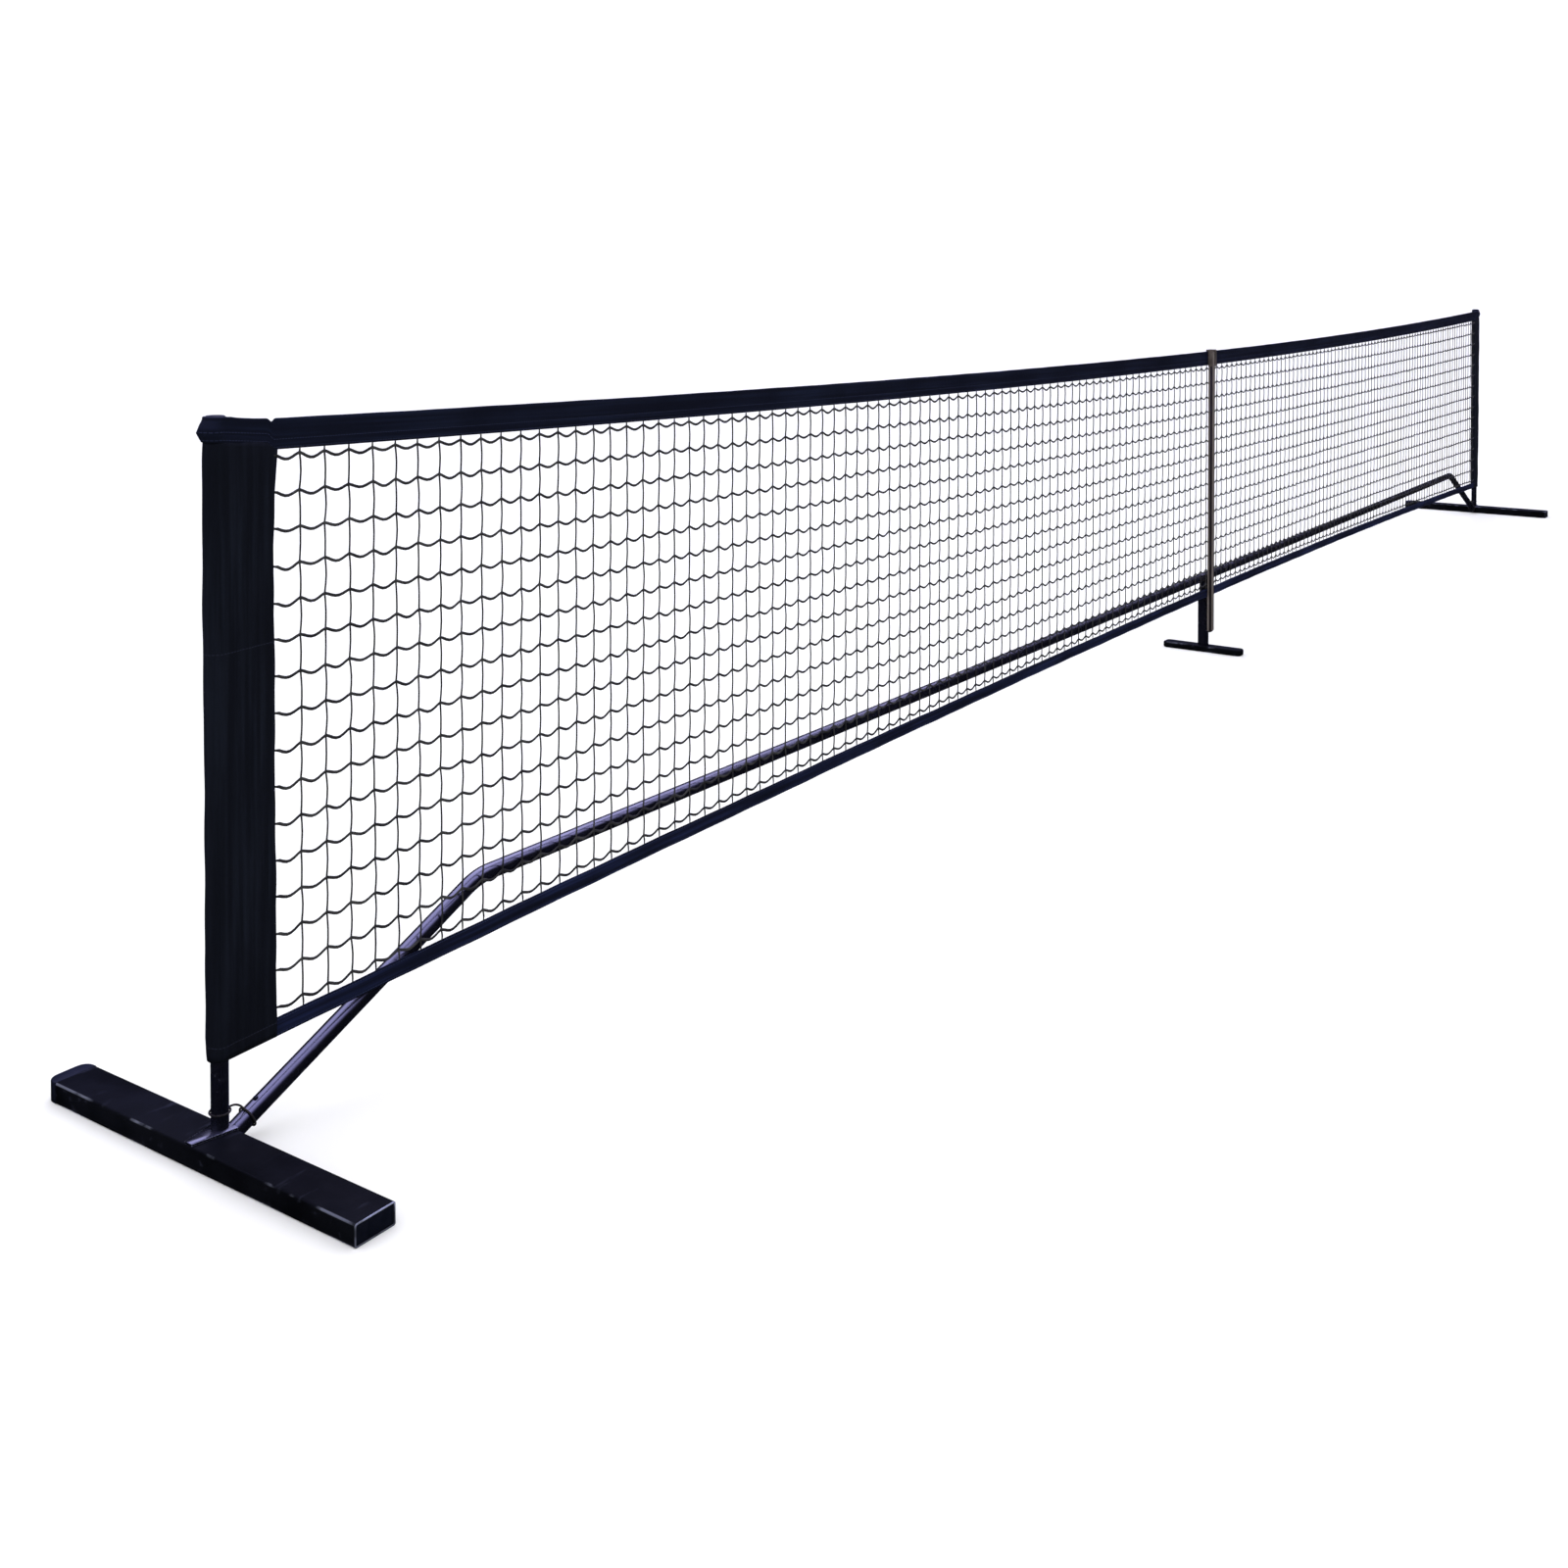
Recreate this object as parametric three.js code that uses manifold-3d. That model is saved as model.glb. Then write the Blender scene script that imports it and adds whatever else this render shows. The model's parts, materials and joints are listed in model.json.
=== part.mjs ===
// Portable pickleball net: a plug-together tube frame on two end feet and a centre foot, with a banded
// net between two uprights and a flat bar that holds the net's middle.
// Millimetres. X runs along the net, -Y is the front, +Z is up, and the origin is on the ground under
// the middle of the net. The two ends are mirror images, so each end is built once about its own upright,
// with +X pointing from the upright towards the middle of the net.
import * as THREE from 'three';
import { mergeVertices } from 'three/addons/utils/BufferGeometryUtils.js';
import Module from 'manifold-3d';

const wasm = await Module();
wasm.setup();

// ---------------------------------------------------------------- driving dimensions

// Net on the court
const POST_SPACING = 6700;
const TOP_AT_POSTS = 909;
const TOP_AT_CENTRE = 861;
const TOP_BAND_HEIGHT = 40;
const BAND_END_HEIGHT = 31;
const BAND_END_OVERLAP = 4;
const BOTTOM_BAND_HEIGHT = 24;
const BOTTOM_AT_POSTS = 118;
const BOTTOM_AT_CENTRE = 158;
const NET_Y = -14;
const NETTING_THICKNESS = 1;
const BAND_THICKNESS = 2.4;
const SLEEVE_BOTTOM = 118;
const SLEEVE_TAIL = 76;
const POCKET_REACH = 44;
const POCKET_FABRIC = 2.2;
const POCKET_FOLD = 8;
const SEAM_GAP = 0.3;
const SAG_STEPS = 24;

// End feet
const FOOT_LENGTH = 600;
const FOOT_WIDTH = 60;
const FOOT_HEIGHT = 28;
const FOOT_WALL = 2;
const FOOT_CORNER = 3;
const FOOT_OUTSET = 17;
const END_CAP_LENGTH = 22;
const END_CAP_CORNER = 16;
const CAP_PLUG_LENGTH = 16;
const CAP_RECESS = 1.5;
const PLATE_THICKNESS = 3;
const PLATE_INNER_HALF = 19;
const PLATE_OUTER_HALF = 7;
const PLATE_MARGIN = 1;

// Uprights
const POST_DIAMETER = 22;
const POST_WALL = 1.4;
const SPIGOT_DIAMETER = 18;
const SPIGOT_WALL = 2;
const SPIGOT_LENGTH = 70;
const POST_CAP_HEIGHT = 6;
const POST_CAP_RADIUS = 12.6;
const CAP_STEM_LENGTH = 15;

// Frame tubes
const TUBE_RADIUS = 12;
const TUBE_BORE = 10.4;
const SWAGE_RADIUS = 10.1;
const SWAGE_BORE = 8.6;
const SWAGE_LENGTH = 45;
const COLLAR_RADIUS = 11.2;
const COLLAR_LENGTH = 8;
const RAIL_HEIGHT = 212;
const BRACE_START_HEIGHT = 14;
const SOCKET_LENGTH = 64;
const BEND_X = 446;
const BEND_RADIUS = 110;
const BENT_TUBE_END = 1046;
const RAIL_LENGTH = 1122;

// Snap buttons and their springs
const BUTTON_FROM_SEAM = 14;
const BUTTON_RADIUS = 3.2;
const BUTTON_HOLE_RADIUS = 3.6;
const BUTTON_PROUD = 2.4;
const FLANGE_RADIUS = 4.5;
const FLANGE_TOP = 7;
const FLANGE_THICKNESS = 1.2;
const SPRING_THICKNESS = 0.8;
const SPRING_WIDTH = 6;
const SPRING_LENGTH = 24;
const SPRING_BUTTON_LEG = 5.1;
const SPRING_WALL_LEG = -7.4;

// Tether
const TETHER_RADIUS = 1.3;
const TETHER_HEIGHT = 52;
const TETHER_ALONG_SOCKET = 31;
const TETHER_ARCH = 2;
const BRIDGE_RADIUS = 1.17;

// Centre support
const TEE_HALF_LENGTH = 60;
const LEG_RADIUS = 11;
const LEG_BORE = 9;
const LEG_BOTTOM = 100;
const STUB_RADIUS = 15;
const STUB_BORE = 11.4;
const STUB_TOP = 155;
const CENTRE_FOOT_LENGTH = 230;
const CENTRE_FOOT_WIDTH = 40;
const CENTRE_FOOT_HEIGHT = 17;
const CENTRE_FOOT_BEVEL = 4;
const BAR_Y = -21.5;
const BAR_WIDTH = 26;
const BAR_DEPTH = 11;
const BAR_WALL = 1.5;
const BAR_CORNER = 1.6;
const BRACKET_HEIGHT = 57;
const BRACKET_THICKNESS = 4;
const BRACKET_WIDTH = 21.6;
const TONGUE_DEPTH = 6.6;
const TONGUE_LENGTH = 58;
const HOOK_WIDTH = 31;
const HOOK_HEIGHT = 48;
const HOOK_TOP_WALL = 4;
const HOOK_WALL = 2;
const HOOK_LIP_LENGTH = 20;
const FIT_GAP = 0.4;

const FACETS = 20;
const SMALL_FACETS = 12;

const HALF_SPACING = POST_SPACING / 2;
const POST_RADIUS = POST_DIAMETER / 2;
const FOOT_INNER_X = FOOT_WIDTH / 2 - FOOT_OUTSET;
const FOOT_OUTER_X = -FOOT_WIDTH / 2 - FOOT_OUTSET;
const PLATE_TOP = FOOT_HEIGHT + PLATE_THICKNESS;

// ---------------------------------------------------------------- finishes

const finish = (color, roughness, metalness) => () =>
  new THREE.MeshStandardMaterial({ color, roughness, metalness });

const powderCoat = finish(0x0b0c14, 0.35, 0.4);
const barCoat = finish(0x3a3230, 0.45, 0.4);
const blackPlastic = finish(0x101114, 0.5, 0.0);
const greyPlastic = finish(0x4a4644, 0.5, 0.0);
const springSteel = finish(0xb0b2b6, 0.3, 0.9);
const elasticCord = finish(0x3a2f22, 0.8, 0.0);
const bandFabric = finish(0x0c1020, 0.85, 0.0);
const sleeveFabric = finish(0x101114, 0.9, 0.0);
const netCord = finish(0x3c3e40, 0.85, 0.0);

// ---------------------------------------------------------------- solid helpers

function toSolid(geometry) {
  const bare = geometry.clone();
  bare.deleteAttribute('normal');
  bare.deleteAttribute('uv');
  const merged = mergeVertices(bare, 1e-4);
  const corners = Array.from(merged.index.array);
  const triangles = [];
  for (let i = 0; i < corners.length; i += 3) {
    const [a, b, c] = corners.slice(i, i + 3);
    if (a !== b && b !== c && c !== a) triangles.push(a, b, c);
  }
  return new wasm.Manifold(new wasm.Mesh({
    numProp: 3,
    vertProperties: new Float32Array(merged.attributes.position.array),
    triVerts: new Uint32Array(triangles),
  }));
}

function toGeometry(solid) {
  const mesh = solid.getMesh();
  const geometry = new THREE.BufferGeometry();
  geometry.setAttribute('position', new THREE.BufferAttribute(mesh.vertProperties, 3));
  geometry.setIndex(new THREE.BufferAttribute(mesh.triVerts, 1));
  geometry.computeVertexNormals();
  return geometry;
}

const join = (first, ...rest) => toGeometry(rest.reduce((sum, g) => sum.add(toSolid(g)), toSolid(first)));
const cut = (first, ...rest) =>
  toGeometry(rest.reduce((left, g) => left.subtract(toSolid(g)), toSolid(first)));

function addPiece(parent, name, geometry, material, position = [0, 0, 0]) {
  const mesh = new THREE.Mesh(geometry, material());
  mesh.name = name;
  mesh.position.set(...position);
  parent.add(mesh);
  return mesh;
}

// A box given by its lowest and highest corners.
function block(low, high) {
  const size = high.map((value, i) => value - low[i]);
  return new THREE.BoxGeometry(...size).translate(...low.map((value, i) => value + size[i] / 2));
}

// A body turned from (radius, height) points about Z, whose profile closes on itself or on the axis.
function turned(points, facets = FACETS) {
  const profile = points.map(([radius, height]) => new THREE.Vector2(radius, height));
  return new THREE.LatheGeometry(profile, facets).rotateX(Math.PI / 2);
}

// The same, turned about X, with distances along X in place of heights.
const turnedAlongX = (points, facets) => turned(points, facets).rotateY(Math.PI / 2);

const pipe = (outer, inner, from, to) => turned([
  [inner, from], [outer, from], [outer, to], [inner, to], [inner, from],
]);

const rod = (radius, from, to, facets) =>
  turned([[0, from], [radius, from], [radius, to], [0, to]], facets);

// An outline pushed straight up along Z.
const prism = (outline, depth, curveSegments) =>
  new THREE.ExtrudeGeometry(outline, { depth, bevelEnabled: false, curveSegments });

// A rectangle with rounded corners about the origin.
function roundedRectangle(width, height, radius) {
  const shape = new THREE.Shape();
  const x = width / 2 - radius;
  const y = height / 2 - radius;
  shape.moveTo(x, -height / 2);
  shape.absarc(x, -y, radius, -Math.PI / 2, 0, false);
  shape.absarc(x, y, radius, 0, Math.PI / 2, false);
  shape.absarc(-x, y, radius, Math.PI / 2, Math.PI, false);
  shape.absarc(-x, -y, radius, Math.PI, Math.PI * 1.5, false);
  return shape;
}

// A bent centre line given by stations, each a point and the direction of travel there.
class StationLine extends THREE.Curve {
  constructor(stations) {
    super();
    this.stations = stations;
  }

  stationAt(u) {
    return this.stations[Math.round(u * (this.stations.length - 1))];
  }

  getPointAt(u) {
    return this.stationAt(u).point.clone();
  }

  getTangentAt(u) {
    return this.stationAt(u).direction.clone();
  }
}

// ---------------------------------------------------------------- snap buttons and plug joints
// A plug joint's own frame has its origin at the seam, +X in the direction the plug goes in, and +Z out
// through the button.

function buttonHole() {
  const hole = rod(BUTTON_HOLE_RADIUS, 0, TUBE_RADIUS * 1.5, SMALL_FACETS);
  return hole.translate(BUTTON_FROM_SEAM, 0, 0);
}

function snapButton() {
  const top = TUBE_RADIUS + BUTTON_PROUD;
  const dome = BUTTON_RADIUS * 0.45;
  return turned([
    [0, FLANGE_TOP - FLANGE_THICKNESS],
    [FLANGE_RADIUS, FLANGE_TOP - FLANGE_THICKNESS],
    [FLANGE_RADIUS, FLANGE_TOP],
    [BUTTON_RADIUS, FLANGE_TOP],
    [BUTTON_RADIUS, top - dome],
    [BUTTON_RADIUS * 0.8, top - dome * 0.35],
    [0, top],
  ], SMALL_FACETS).translate(BUTTON_FROM_SEAM, 0, 0);
}

// A strip folded into a V: one leg under the button, the other along the opposite wall of the bore.
function foldedSpring() {
  const half = SPRING_THICKNESS / 2;
  const near = BUTTON_FROM_SEAM - FLANGE_RADIUS;
  const knee = BUTTON_FROM_SEAM + FLANGE_RADIUS;
  const far = knee + SPRING_LENGTH;
  const turnRadius = 1.6;
  const turnCentre = SPRING_WALL_LEG + turnRadius;
  const outer = turnRadius + half;
  const inner = turnRadius - half;
  const shape = new THREE.Shape();
  shape.moveTo(near, SPRING_BUTTON_LEG - half);
  shape.lineTo(knee, SPRING_BUTTON_LEG - half);
  shape.lineTo(far, turnCentre + inner);
  shape.absarc(far, turnCentre, inner, Math.PI / 2, -Math.PI / 2, true);
  shape.lineTo(near, SPRING_WALL_LEG + half);
  shape.lineTo(near, SPRING_WALL_LEG - half);
  shape.lineTo(far, SPRING_WALL_LEG - half);
  shape.absarc(far, turnCentre, outer, -Math.PI / 2, Math.PI / 2, false);
  shape.lineTo(knee, SPRING_BUTTON_LEG + half);
  shape.lineTo(near, SPRING_BUTTON_LEG + half);
  return prism(shape, SPRING_WIDTH, 3).translate(0, 0, -SPRING_WIDTH / 2).rotateX(Math.PI / 2);
}

// Turns a group so that its +X points along the insertion and its +Z out through the button.
function aimPlugJoint(object, insertion, outward) {
  const side = new THREE.Vector3().crossVectors(outward, insertion);
  const basis = new THREE.Matrix4().makeBasis(insertion, side, outward);
  object.quaternion.setFromRotationMatrix(basis);
  return basis;
}

function addPlugJoint(parent, prefix, seam, insertion, outward) {
  const group = new THREE.Group();
  aimPlugJoint(group, insertion, outward);
  group.position.copy(seam);
  addPiece(group, `${prefix}_button`, snapButton(), blackPlastic);
  addPiece(group, `${prefix}_spring`, foldedSpring(), springSteel);
  parent.add(group);
}

// The button hole of a plug joint, moved to where that joint is.
function buttonHoleAt(seam, insertion, outward) {
  const placed = new THREE.Object3D();
  const basis = aimPlugJoint(placed, insertion, outward);
  return buttonHole().applyMatrix4(basis).translate(seam.x, seam.y, seam.z);
}

// ---------------------------------------------------------------- one end of the frame

const BRACE_RISE = RAIL_HEIGHT - BRACE_START_HEIGHT;
const BRACE_ANGLE = Math.atan2(BRACE_RISE, BEND_X - FOOT_INNER_X);
const BRACE_DIRECTION = new THREE.Vector3(Math.cos(BRACE_ANGLE), 0, Math.sin(BRACE_ANGLE));
const BRACE_NORMAL = new THREE.Vector3(-Math.sin(BRACE_ANGLE), 0, Math.cos(BRACE_ANGLE));
const BRACE_START = new THREE.Vector3(FOOT_INNER_X, 0, BRACE_START_HEIGHT);
const BRACE_SEAM = BRACE_START.clone().addScaledVector(BRACE_DIRECTION, SOCKET_LENGTH);
const TOWARDS_FOOT = new THREE.Vector3(-1, 0, 0);
const TO_THE_BACK = new THREE.Vector3(0, 1, 0);

const railPoint = (x) => new THREE.Vector3(x, 0, RAIL_HEIGHT);

function footTube() {
  const outline = roundedRectangle(FOOT_WIDTH, FOOT_HEIGHT, FOOT_CORNER);
  const inside = roundedRectangle(FOOT_WIDTH - 2 * FOOT_WALL, FOOT_HEIGHT - 2 * FOOT_WALL, FOOT_CORNER / 2);
  outline.holes.push(inside);
  const length = FOOT_LENGTH - END_CAP_LENGTH;
  return prism(outline, length, 2).rotateX(Math.PI / 2).translate(0, length - FOOT_LENGTH / 2, 0);
}

function capPlug(from, to) {
  const clearance = 2 * (FOOT_WALL + FIT_GAP);
  const outline = roundedRectangle(FOOT_WIDTH - clearance, FOOT_HEIGHT - clearance, FOOT_CORNER / 2);
  return prism(outline, to - from, 2).rotateX(Math.PI / 2).translate(0, to, 0);
}

function frontCap() {
  const face = -FOOT_LENGTH / 2 + CAP_RECESS;
  return capPlug(face, face + CAP_PLUG_LENGTH);
}

// A moulded head, rounded in plan, on a plug that fills the tube's open end.
function backCap() {
  const joint = FOOT_LENGTH / 2 - END_CAP_LENGTH;
  const corner = END_CAP_CORNER;
  const plan = new THREE.Shape();
  const half = FOOT_WIDTH / 2;
  const start = FIT_GAP / 2;
  plan.moveTo(-half, start);
  plan.lineTo(half, start);
  plan.absarc(half - corner, END_CAP_LENGTH - corner, corner, 0, Math.PI / 2, false);
  plan.absarc(corner - half, END_CAP_LENGTH - corner, corner, Math.PI / 2, Math.PI, false);
  const softEdge = 1;
  const head = new THREE.ExtrudeGeometry(plan, {
    depth: FOOT_HEIGHT - 2 * softEdge,
    bevelSize: softEdge,
    bevelThickness: softEdge,
    bevelOffset: -softEdge,
    bevelSegments: 1,
    curveSegments: 3,
  }).translate(0, joint, softEdge - FOOT_HEIGHT / 2);
  return join(head, capPlug(joint - CAP_PLUG_LENGTH, joint + END_CAP_LENGTH / 2));
}

// The plate under the upright narrows towards the outer edge of the foot.
function basePlate() {
  const plan = new THREE.Shape([
    new THREE.Vector2(FOOT_INNER_X, -PLATE_INNER_HALF),
    new THREE.Vector2(FOOT_INNER_X, PLATE_INNER_HALF),
    new THREE.Vector2(FOOT_OUTER_X + PLATE_MARGIN, PLATE_OUTER_HALF),
    new THREE.Vector2(FOOT_OUTER_X + PLATE_MARGIN, -PLATE_OUTER_HALF),
  ]);
  return prism(plan, PLATE_THICKNESS);
}

function postCap() {
  const stem = POST_RADIUS - POST_WALL - FIT_GAP / 2;
  const dome = POST_CAP_HEIGHT / 3;
  return turned([
    [0, -CAP_STEM_LENGTH],
    [stem, -CAP_STEM_LENGTH],
    [stem, 0],
    [POST_CAP_RADIUS, 0],
    [POST_CAP_RADIUS, POST_CAP_HEIGHT - dome],
    [POST_CAP_RADIUS * 0.85, POST_CAP_HEIGHT - dome / 4],
    [0, POST_CAP_HEIGHT],
  ]);
}

// A sloping pipe whose lower end is cut to the upright side wall of the foot.
function braceSocket() {
  const overrun = TUBE_RADIUS;
  const sloping = pipe(TUBE_RADIUS, TUBE_BORE, -overrun, SOCKET_LENGTH)
    .rotateY(Math.PI / 2 - BRACE_ANGLE)
    .translate(BRACE_START.x, 0, BRACE_START.z);
  const reach = 3 * TUBE_RADIUS;
  const wall = block(
    [FOOT_INNER_X - reach, -reach, -reach],
    [FOOT_INNER_X + SEAM_GAP, reach, FOOT_HEIGHT + reach],
  );
  const hole = buttonHoleAt(BRACE_SEAM, BRACE_DIRECTION.clone().negate(), BRACE_NORMAL);
  return cut(sloping, wall, hole);
}

// The reduced end of a tube, with a collar that merges into the wall of the full-size tube behind it.
const swagedEnd = () => turnedAlongX([
  [SWAGE_BORE, -COLLAR_LENGTH],
  [COLLAR_RADIUS, -COLLAR_LENGTH],
  [COLLAR_RADIUS, 0],
  [SWAGE_RADIUS, 0],
  [SWAGE_RADIUS, SWAGE_LENGTH],
  [SWAGE_BORE, SWAGE_LENGTH],
  [SWAGE_BORE, -COLLAR_LENGTH],
]);

function bentTube() {
  const bendStart = BEND_RADIUS * Math.tan(BRACE_ANGLE / 2);
  const bend = railPoint(BEND_X);
  const arcCentre = bend.clone().add(new THREE.Vector3(bendStart, 0, -BEND_RADIUS));
  const arcSteps = 6;
  const along = new THREE.Vector3(1, 0, 0);
  const stations = [{ point: BRACE_SEAM, direction: BRACE_DIRECTION }];
  for (let i = 0; i <= arcSteps; i += 1) {
    const angle = BRACE_ANGLE * (1 - i / arcSteps);
    const outward = new THREE.Vector3(-Math.sin(angle), 0, Math.cos(angle));
    stations.push({
      point: arcCentre.clone().addScaledVector(outward, BEND_RADIUS),
      direction: new THREE.Vector3(Math.cos(angle), 0, Math.sin(angle)),
    });
  }
  stations.push({ point: railPoint(BENT_TUBE_END), direction: along });
  const ring = new THREE.Shape();
  ring.absarc(0, 0, TUBE_RADIUS, 0, 2 * Math.PI, false);
  const bore = new THREE.Path();
  bore.absarc(0, 0, TUBE_BORE, 0, 2 * Math.PI, true);
  ring.holes.push(bore);
  const swept = new THREE.ExtrudeGeometry(ring, {
    steps: stations.length - 1,
    curveSegments: FACETS / 2,
    extrudePath: new StationLine(stations),
  });
  const insertion = BRACE_DIRECTION.clone().negate();
  const placed = new THREE.Object3D();
  const basis = aimPlugJoint(placed, insertion, BRACE_NORMAL);
  const swage = swagedEnd().applyMatrix4(basis).translate(BRACE_SEAM.x, 0, BRACE_SEAM.z);
  const lowerHole = buttonHoleAt(BRACE_SEAM, insertion, BRACE_NORMAL);
  const upperHole = buttonHoleAt(railPoint(BENT_TUBE_END), TOWARDS_FOOT, TO_THE_BACK);
  return cut(join(swept, swage), lowerHole, upperHole);
}

// A straight rail tube from x = 0 to its full length, with its reduced end before 0.
function railTube() {
  const body = turnedAlongX([
    [SWAGE_BORE, -SWAGE_LENGTH],
    [SWAGE_RADIUS, -SWAGE_LENGTH],
    [SWAGE_RADIUS, 0],
    [TUBE_RADIUS, 0],
    [TUBE_RADIUS, RAIL_LENGTH],
    [TUBE_BORE, RAIL_LENGTH],
    [TUBE_BORE, COLLAR_LENGTH],
    [SWAGE_BORE, COLLAR_LENGTH],
    [SWAGE_BORE, -SWAGE_LENGTH],
  ]);
  const origin = new THREE.Vector3();
  const farEnd = new THREE.Vector3(RAIL_LENGTH, 0, 0);
  return cut(
    body,
    buttonHoleAt(origin, TOWARDS_FOOT, TO_THE_BACK),
    buttonHoleAt(farEnd, TOWARDS_FOOT, TO_THE_BACK),
  );
}

// A cord with a loop round the upright, a bridge, and a loop round the sloping socket.
function tether() {
  const reach = TETHER_RADIUS + SEAM_GAP;
  const loopRound = (radius) => new THREE.TorusGeometry(radius + reach, TETHER_RADIUS, 6, FACETS);
  const onSocket = BRACE_START.clone().addScaledVector(BRACE_DIRECTION, TETHER_ALONG_SOCKET);
  const postLoop = loopRound(POST_RADIUS).translate(0, 0, TETHER_HEIGHT);
  const socketLoop = loopRound(TUBE_RADIUS)
    .rotateY(Math.PI / 2 - BRACE_ANGLE)
    .translate(onSocket.x, 0, onSocket.z);
  const start = new THREE.Vector3(POST_RADIUS + reach, 0, TETHER_HEIGHT);
  const end = onSocket.addScaledVector(BRACE_NORMAL, TUBE_RADIUS + reach);
  const crest = new THREE.Vector3((start.x + end.x * 2) / 3, 0, TETHER_HEIGHT + TETHER_ARCH);
  const section = new THREE.Shape();
  section.absarc(0, 0, BRIDGE_RADIUS, 0, 2 * Math.PI, false);
  const bridge = new THREE.ExtrudeGeometry(section, {
    steps: 8,
    curveSegments: 4,
    extrudePath: new THREE.QuadraticBezierCurve3(start, crest, end),
  });
  return join(postLoop, bridge, socketLoop);
}

function buildEnd(side) {
  const end = new THREE.Group();
  const add = (name, geometry, material, position) =>
    addPiece(end, `${side}_${name}`, geometry, material, position);
  const footCentre = [-FOOT_OUTSET, 0, FOOT_HEIGHT / 2];
  add('foot_tube', footTube(), powderCoat, footCentre);
  add('foot_cap_front', frontCap(), blackPlastic, footCentre);
  add('foot_cap_back', backCap(), blackPlastic, footCentre);
  add('base_plate', basePlate(), powderCoat, [0, 0, FOOT_HEIGHT]);
  const spigotRadius = SPIGOT_DIAMETER / 2;
  const spigot = pipe(spigotRadius, spigotRadius - SPIGOT_WALL, 0, SPIGOT_LENGTH);
  add('post_spigot', spigot, powderCoat, [0, 0, PLATE_TOP]);
  const postTube = pipe(POST_RADIUS, POST_RADIUS - POST_WALL, 0, TOP_AT_POSTS - PLATE_TOP);
  add('post_tube', postTube, powderCoat, [0, 0, PLATE_TOP]);
  add('post_cap', postCap(), blackPlastic, [0, 0, TOP_AT_POSTS]);
  add('tether', tether(), elasticCord);
  add('brace_socket', braceSocket(), powderCoat);
  add('bent_tube', bentTube(), powderCoat);
  add('outer_rail', railTube(), powderCoat, [BENT_TUBE_END, 0, RAIL_HEIGHT]);
  add('inner_rail', railTube(), powderCoat, [BENT_TUBE_END + RAIL_LENGTH, 0, RAIL_HEIGHT]);
  addPlugJoint(end, `${side}_brace`, BRACE_SEAM, BRACE_DIRECTION.clone().negate(), BRACE_NORMAL);
  addPlugJoint(end, `${side}_outer`, railPoint(BENT_TUBE_END), TOWARDS_FOOT, TO_THE_BACK);
  addPlugJoint(end, `${side}_middle`, railPoint(BENT_TUBE_END + RAIL_LENGTH), TOWARDS_FOOT, TO_THE_BACK);
  addPlugJoint(end, `${side}_inner`, railPoint(BENT_TUBE_END + 2 * RAIL_LENGTH), TOWARDS_FOOT, TO_THE_BACK);
  return end;
}

// ---------------------------------------------------------------- centre support

function teeCoupler() {
  const reach = TEE_HALF_LENGTH + SWAGE_LENGTH;
  const arms = turnedAlongX([
    [0, -reach],
    [SWAGE_RADIUS, -reach],
    [SWAGE_RADIUS, -TEE_HALF_LENGTH],
    [TUBE_RADIUS, -TEE_HALF_LENGTH],
    [TUBE_RADIUS, TEE_HALF_LENGTH],
    [SWAGE_RADIUS, TEE_HALF_LENGTH],
    [SWAGE_RADIUS, reach],
    [0, reach],
  ]);
  const legLength = RAIL_HEIGHT - LEG_BOTTOM;
  const leg = rod(LEG_RADIUS, -legLength, 0);
  const armBore = rod(SWAGE_BORE, -reach - 1, reach + 1).rotateY(Math.PI / 2);
  const legBore = rod(LEG_BORE, -legLength - 1, 0);
  const towardsRight = TOWARDS_FOOT.clone().negate();
  const leftSeam = new THREE.Vector3(-TEE_HALF_LENGTH, 0, 0);
  const rightSeam = new THREE.Vector3(TEE_HALF_LENGTH, 0, 0);
  return cut(
    join(arms, leg),
    armBore,
    legBore,
    buttonHoleAt(leftSeam, TOWARDS_FOOT, TO_THE_BACK),
    buttonHoleAt(rightSeam, towardsRight, TO_THE_BACK),
  );
}

function centreFoot() {
  const inset = 2 * CENTRE_FOOT_BEVEL;
  const corner = CENTRE_FOOT_WIDTH / 5;
  const plan = roundedRectangle(CENTRE_FOOT_WIDTH - inset, CENTRE_FOOT_LENGTH - inset, corner);
  return new THREE.ExtrudeGeometry(plan, {
    depth: CENTRE_FOOT_HEIGHT - inset,
    bevelSize: CENTRE_FOOT_BEVEL,
    bevelThickness: CENTRE_FOOT_BEVEL,
    bevelSegments: 2,
    curveSegments: 3,
  }).translate(0, 0, CENTRE_FOOT_BEVEL);
}

// An arm from the front of the stub, and a tongue that stands up inside the hollow bar.
function barBracket() {
  const half = BRACKET_WIDTH / 2;
  const front = BAR_Y - TONGUE_DEPTH / 2;
  const top = BRACKET_HEIGHT + BRACKET_THICKNESS;
  const arm = block([-half, front, BRACKET_HEIGHT], [half, -STUB_BORE / 2, top]);
  const tongue = block([-half, front, BRACKET_HEIGHT], [half, front + TONGUE_DEPTH, top + TONGUE_LENGTH]);
  const stub = rod(STUB_RADIUS + SEAM_GAP, 0, 2 * STUB_TOP);
  return cut(join(arm, tongue), stub);
}

function centreBar(length) {
  const outline = roundedRectangle(BAR_WIDTH, BAR_DEPTH, BAR_CORNER);
  outline.holes.push(roundedRectangle(BAR_WIDTH - 2 * BAR_WALL, BAR_DEPTH - 2 * BAR_WALL, BAR_CORNER / 3));
  return prism(outline, length, 2);
}

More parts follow.
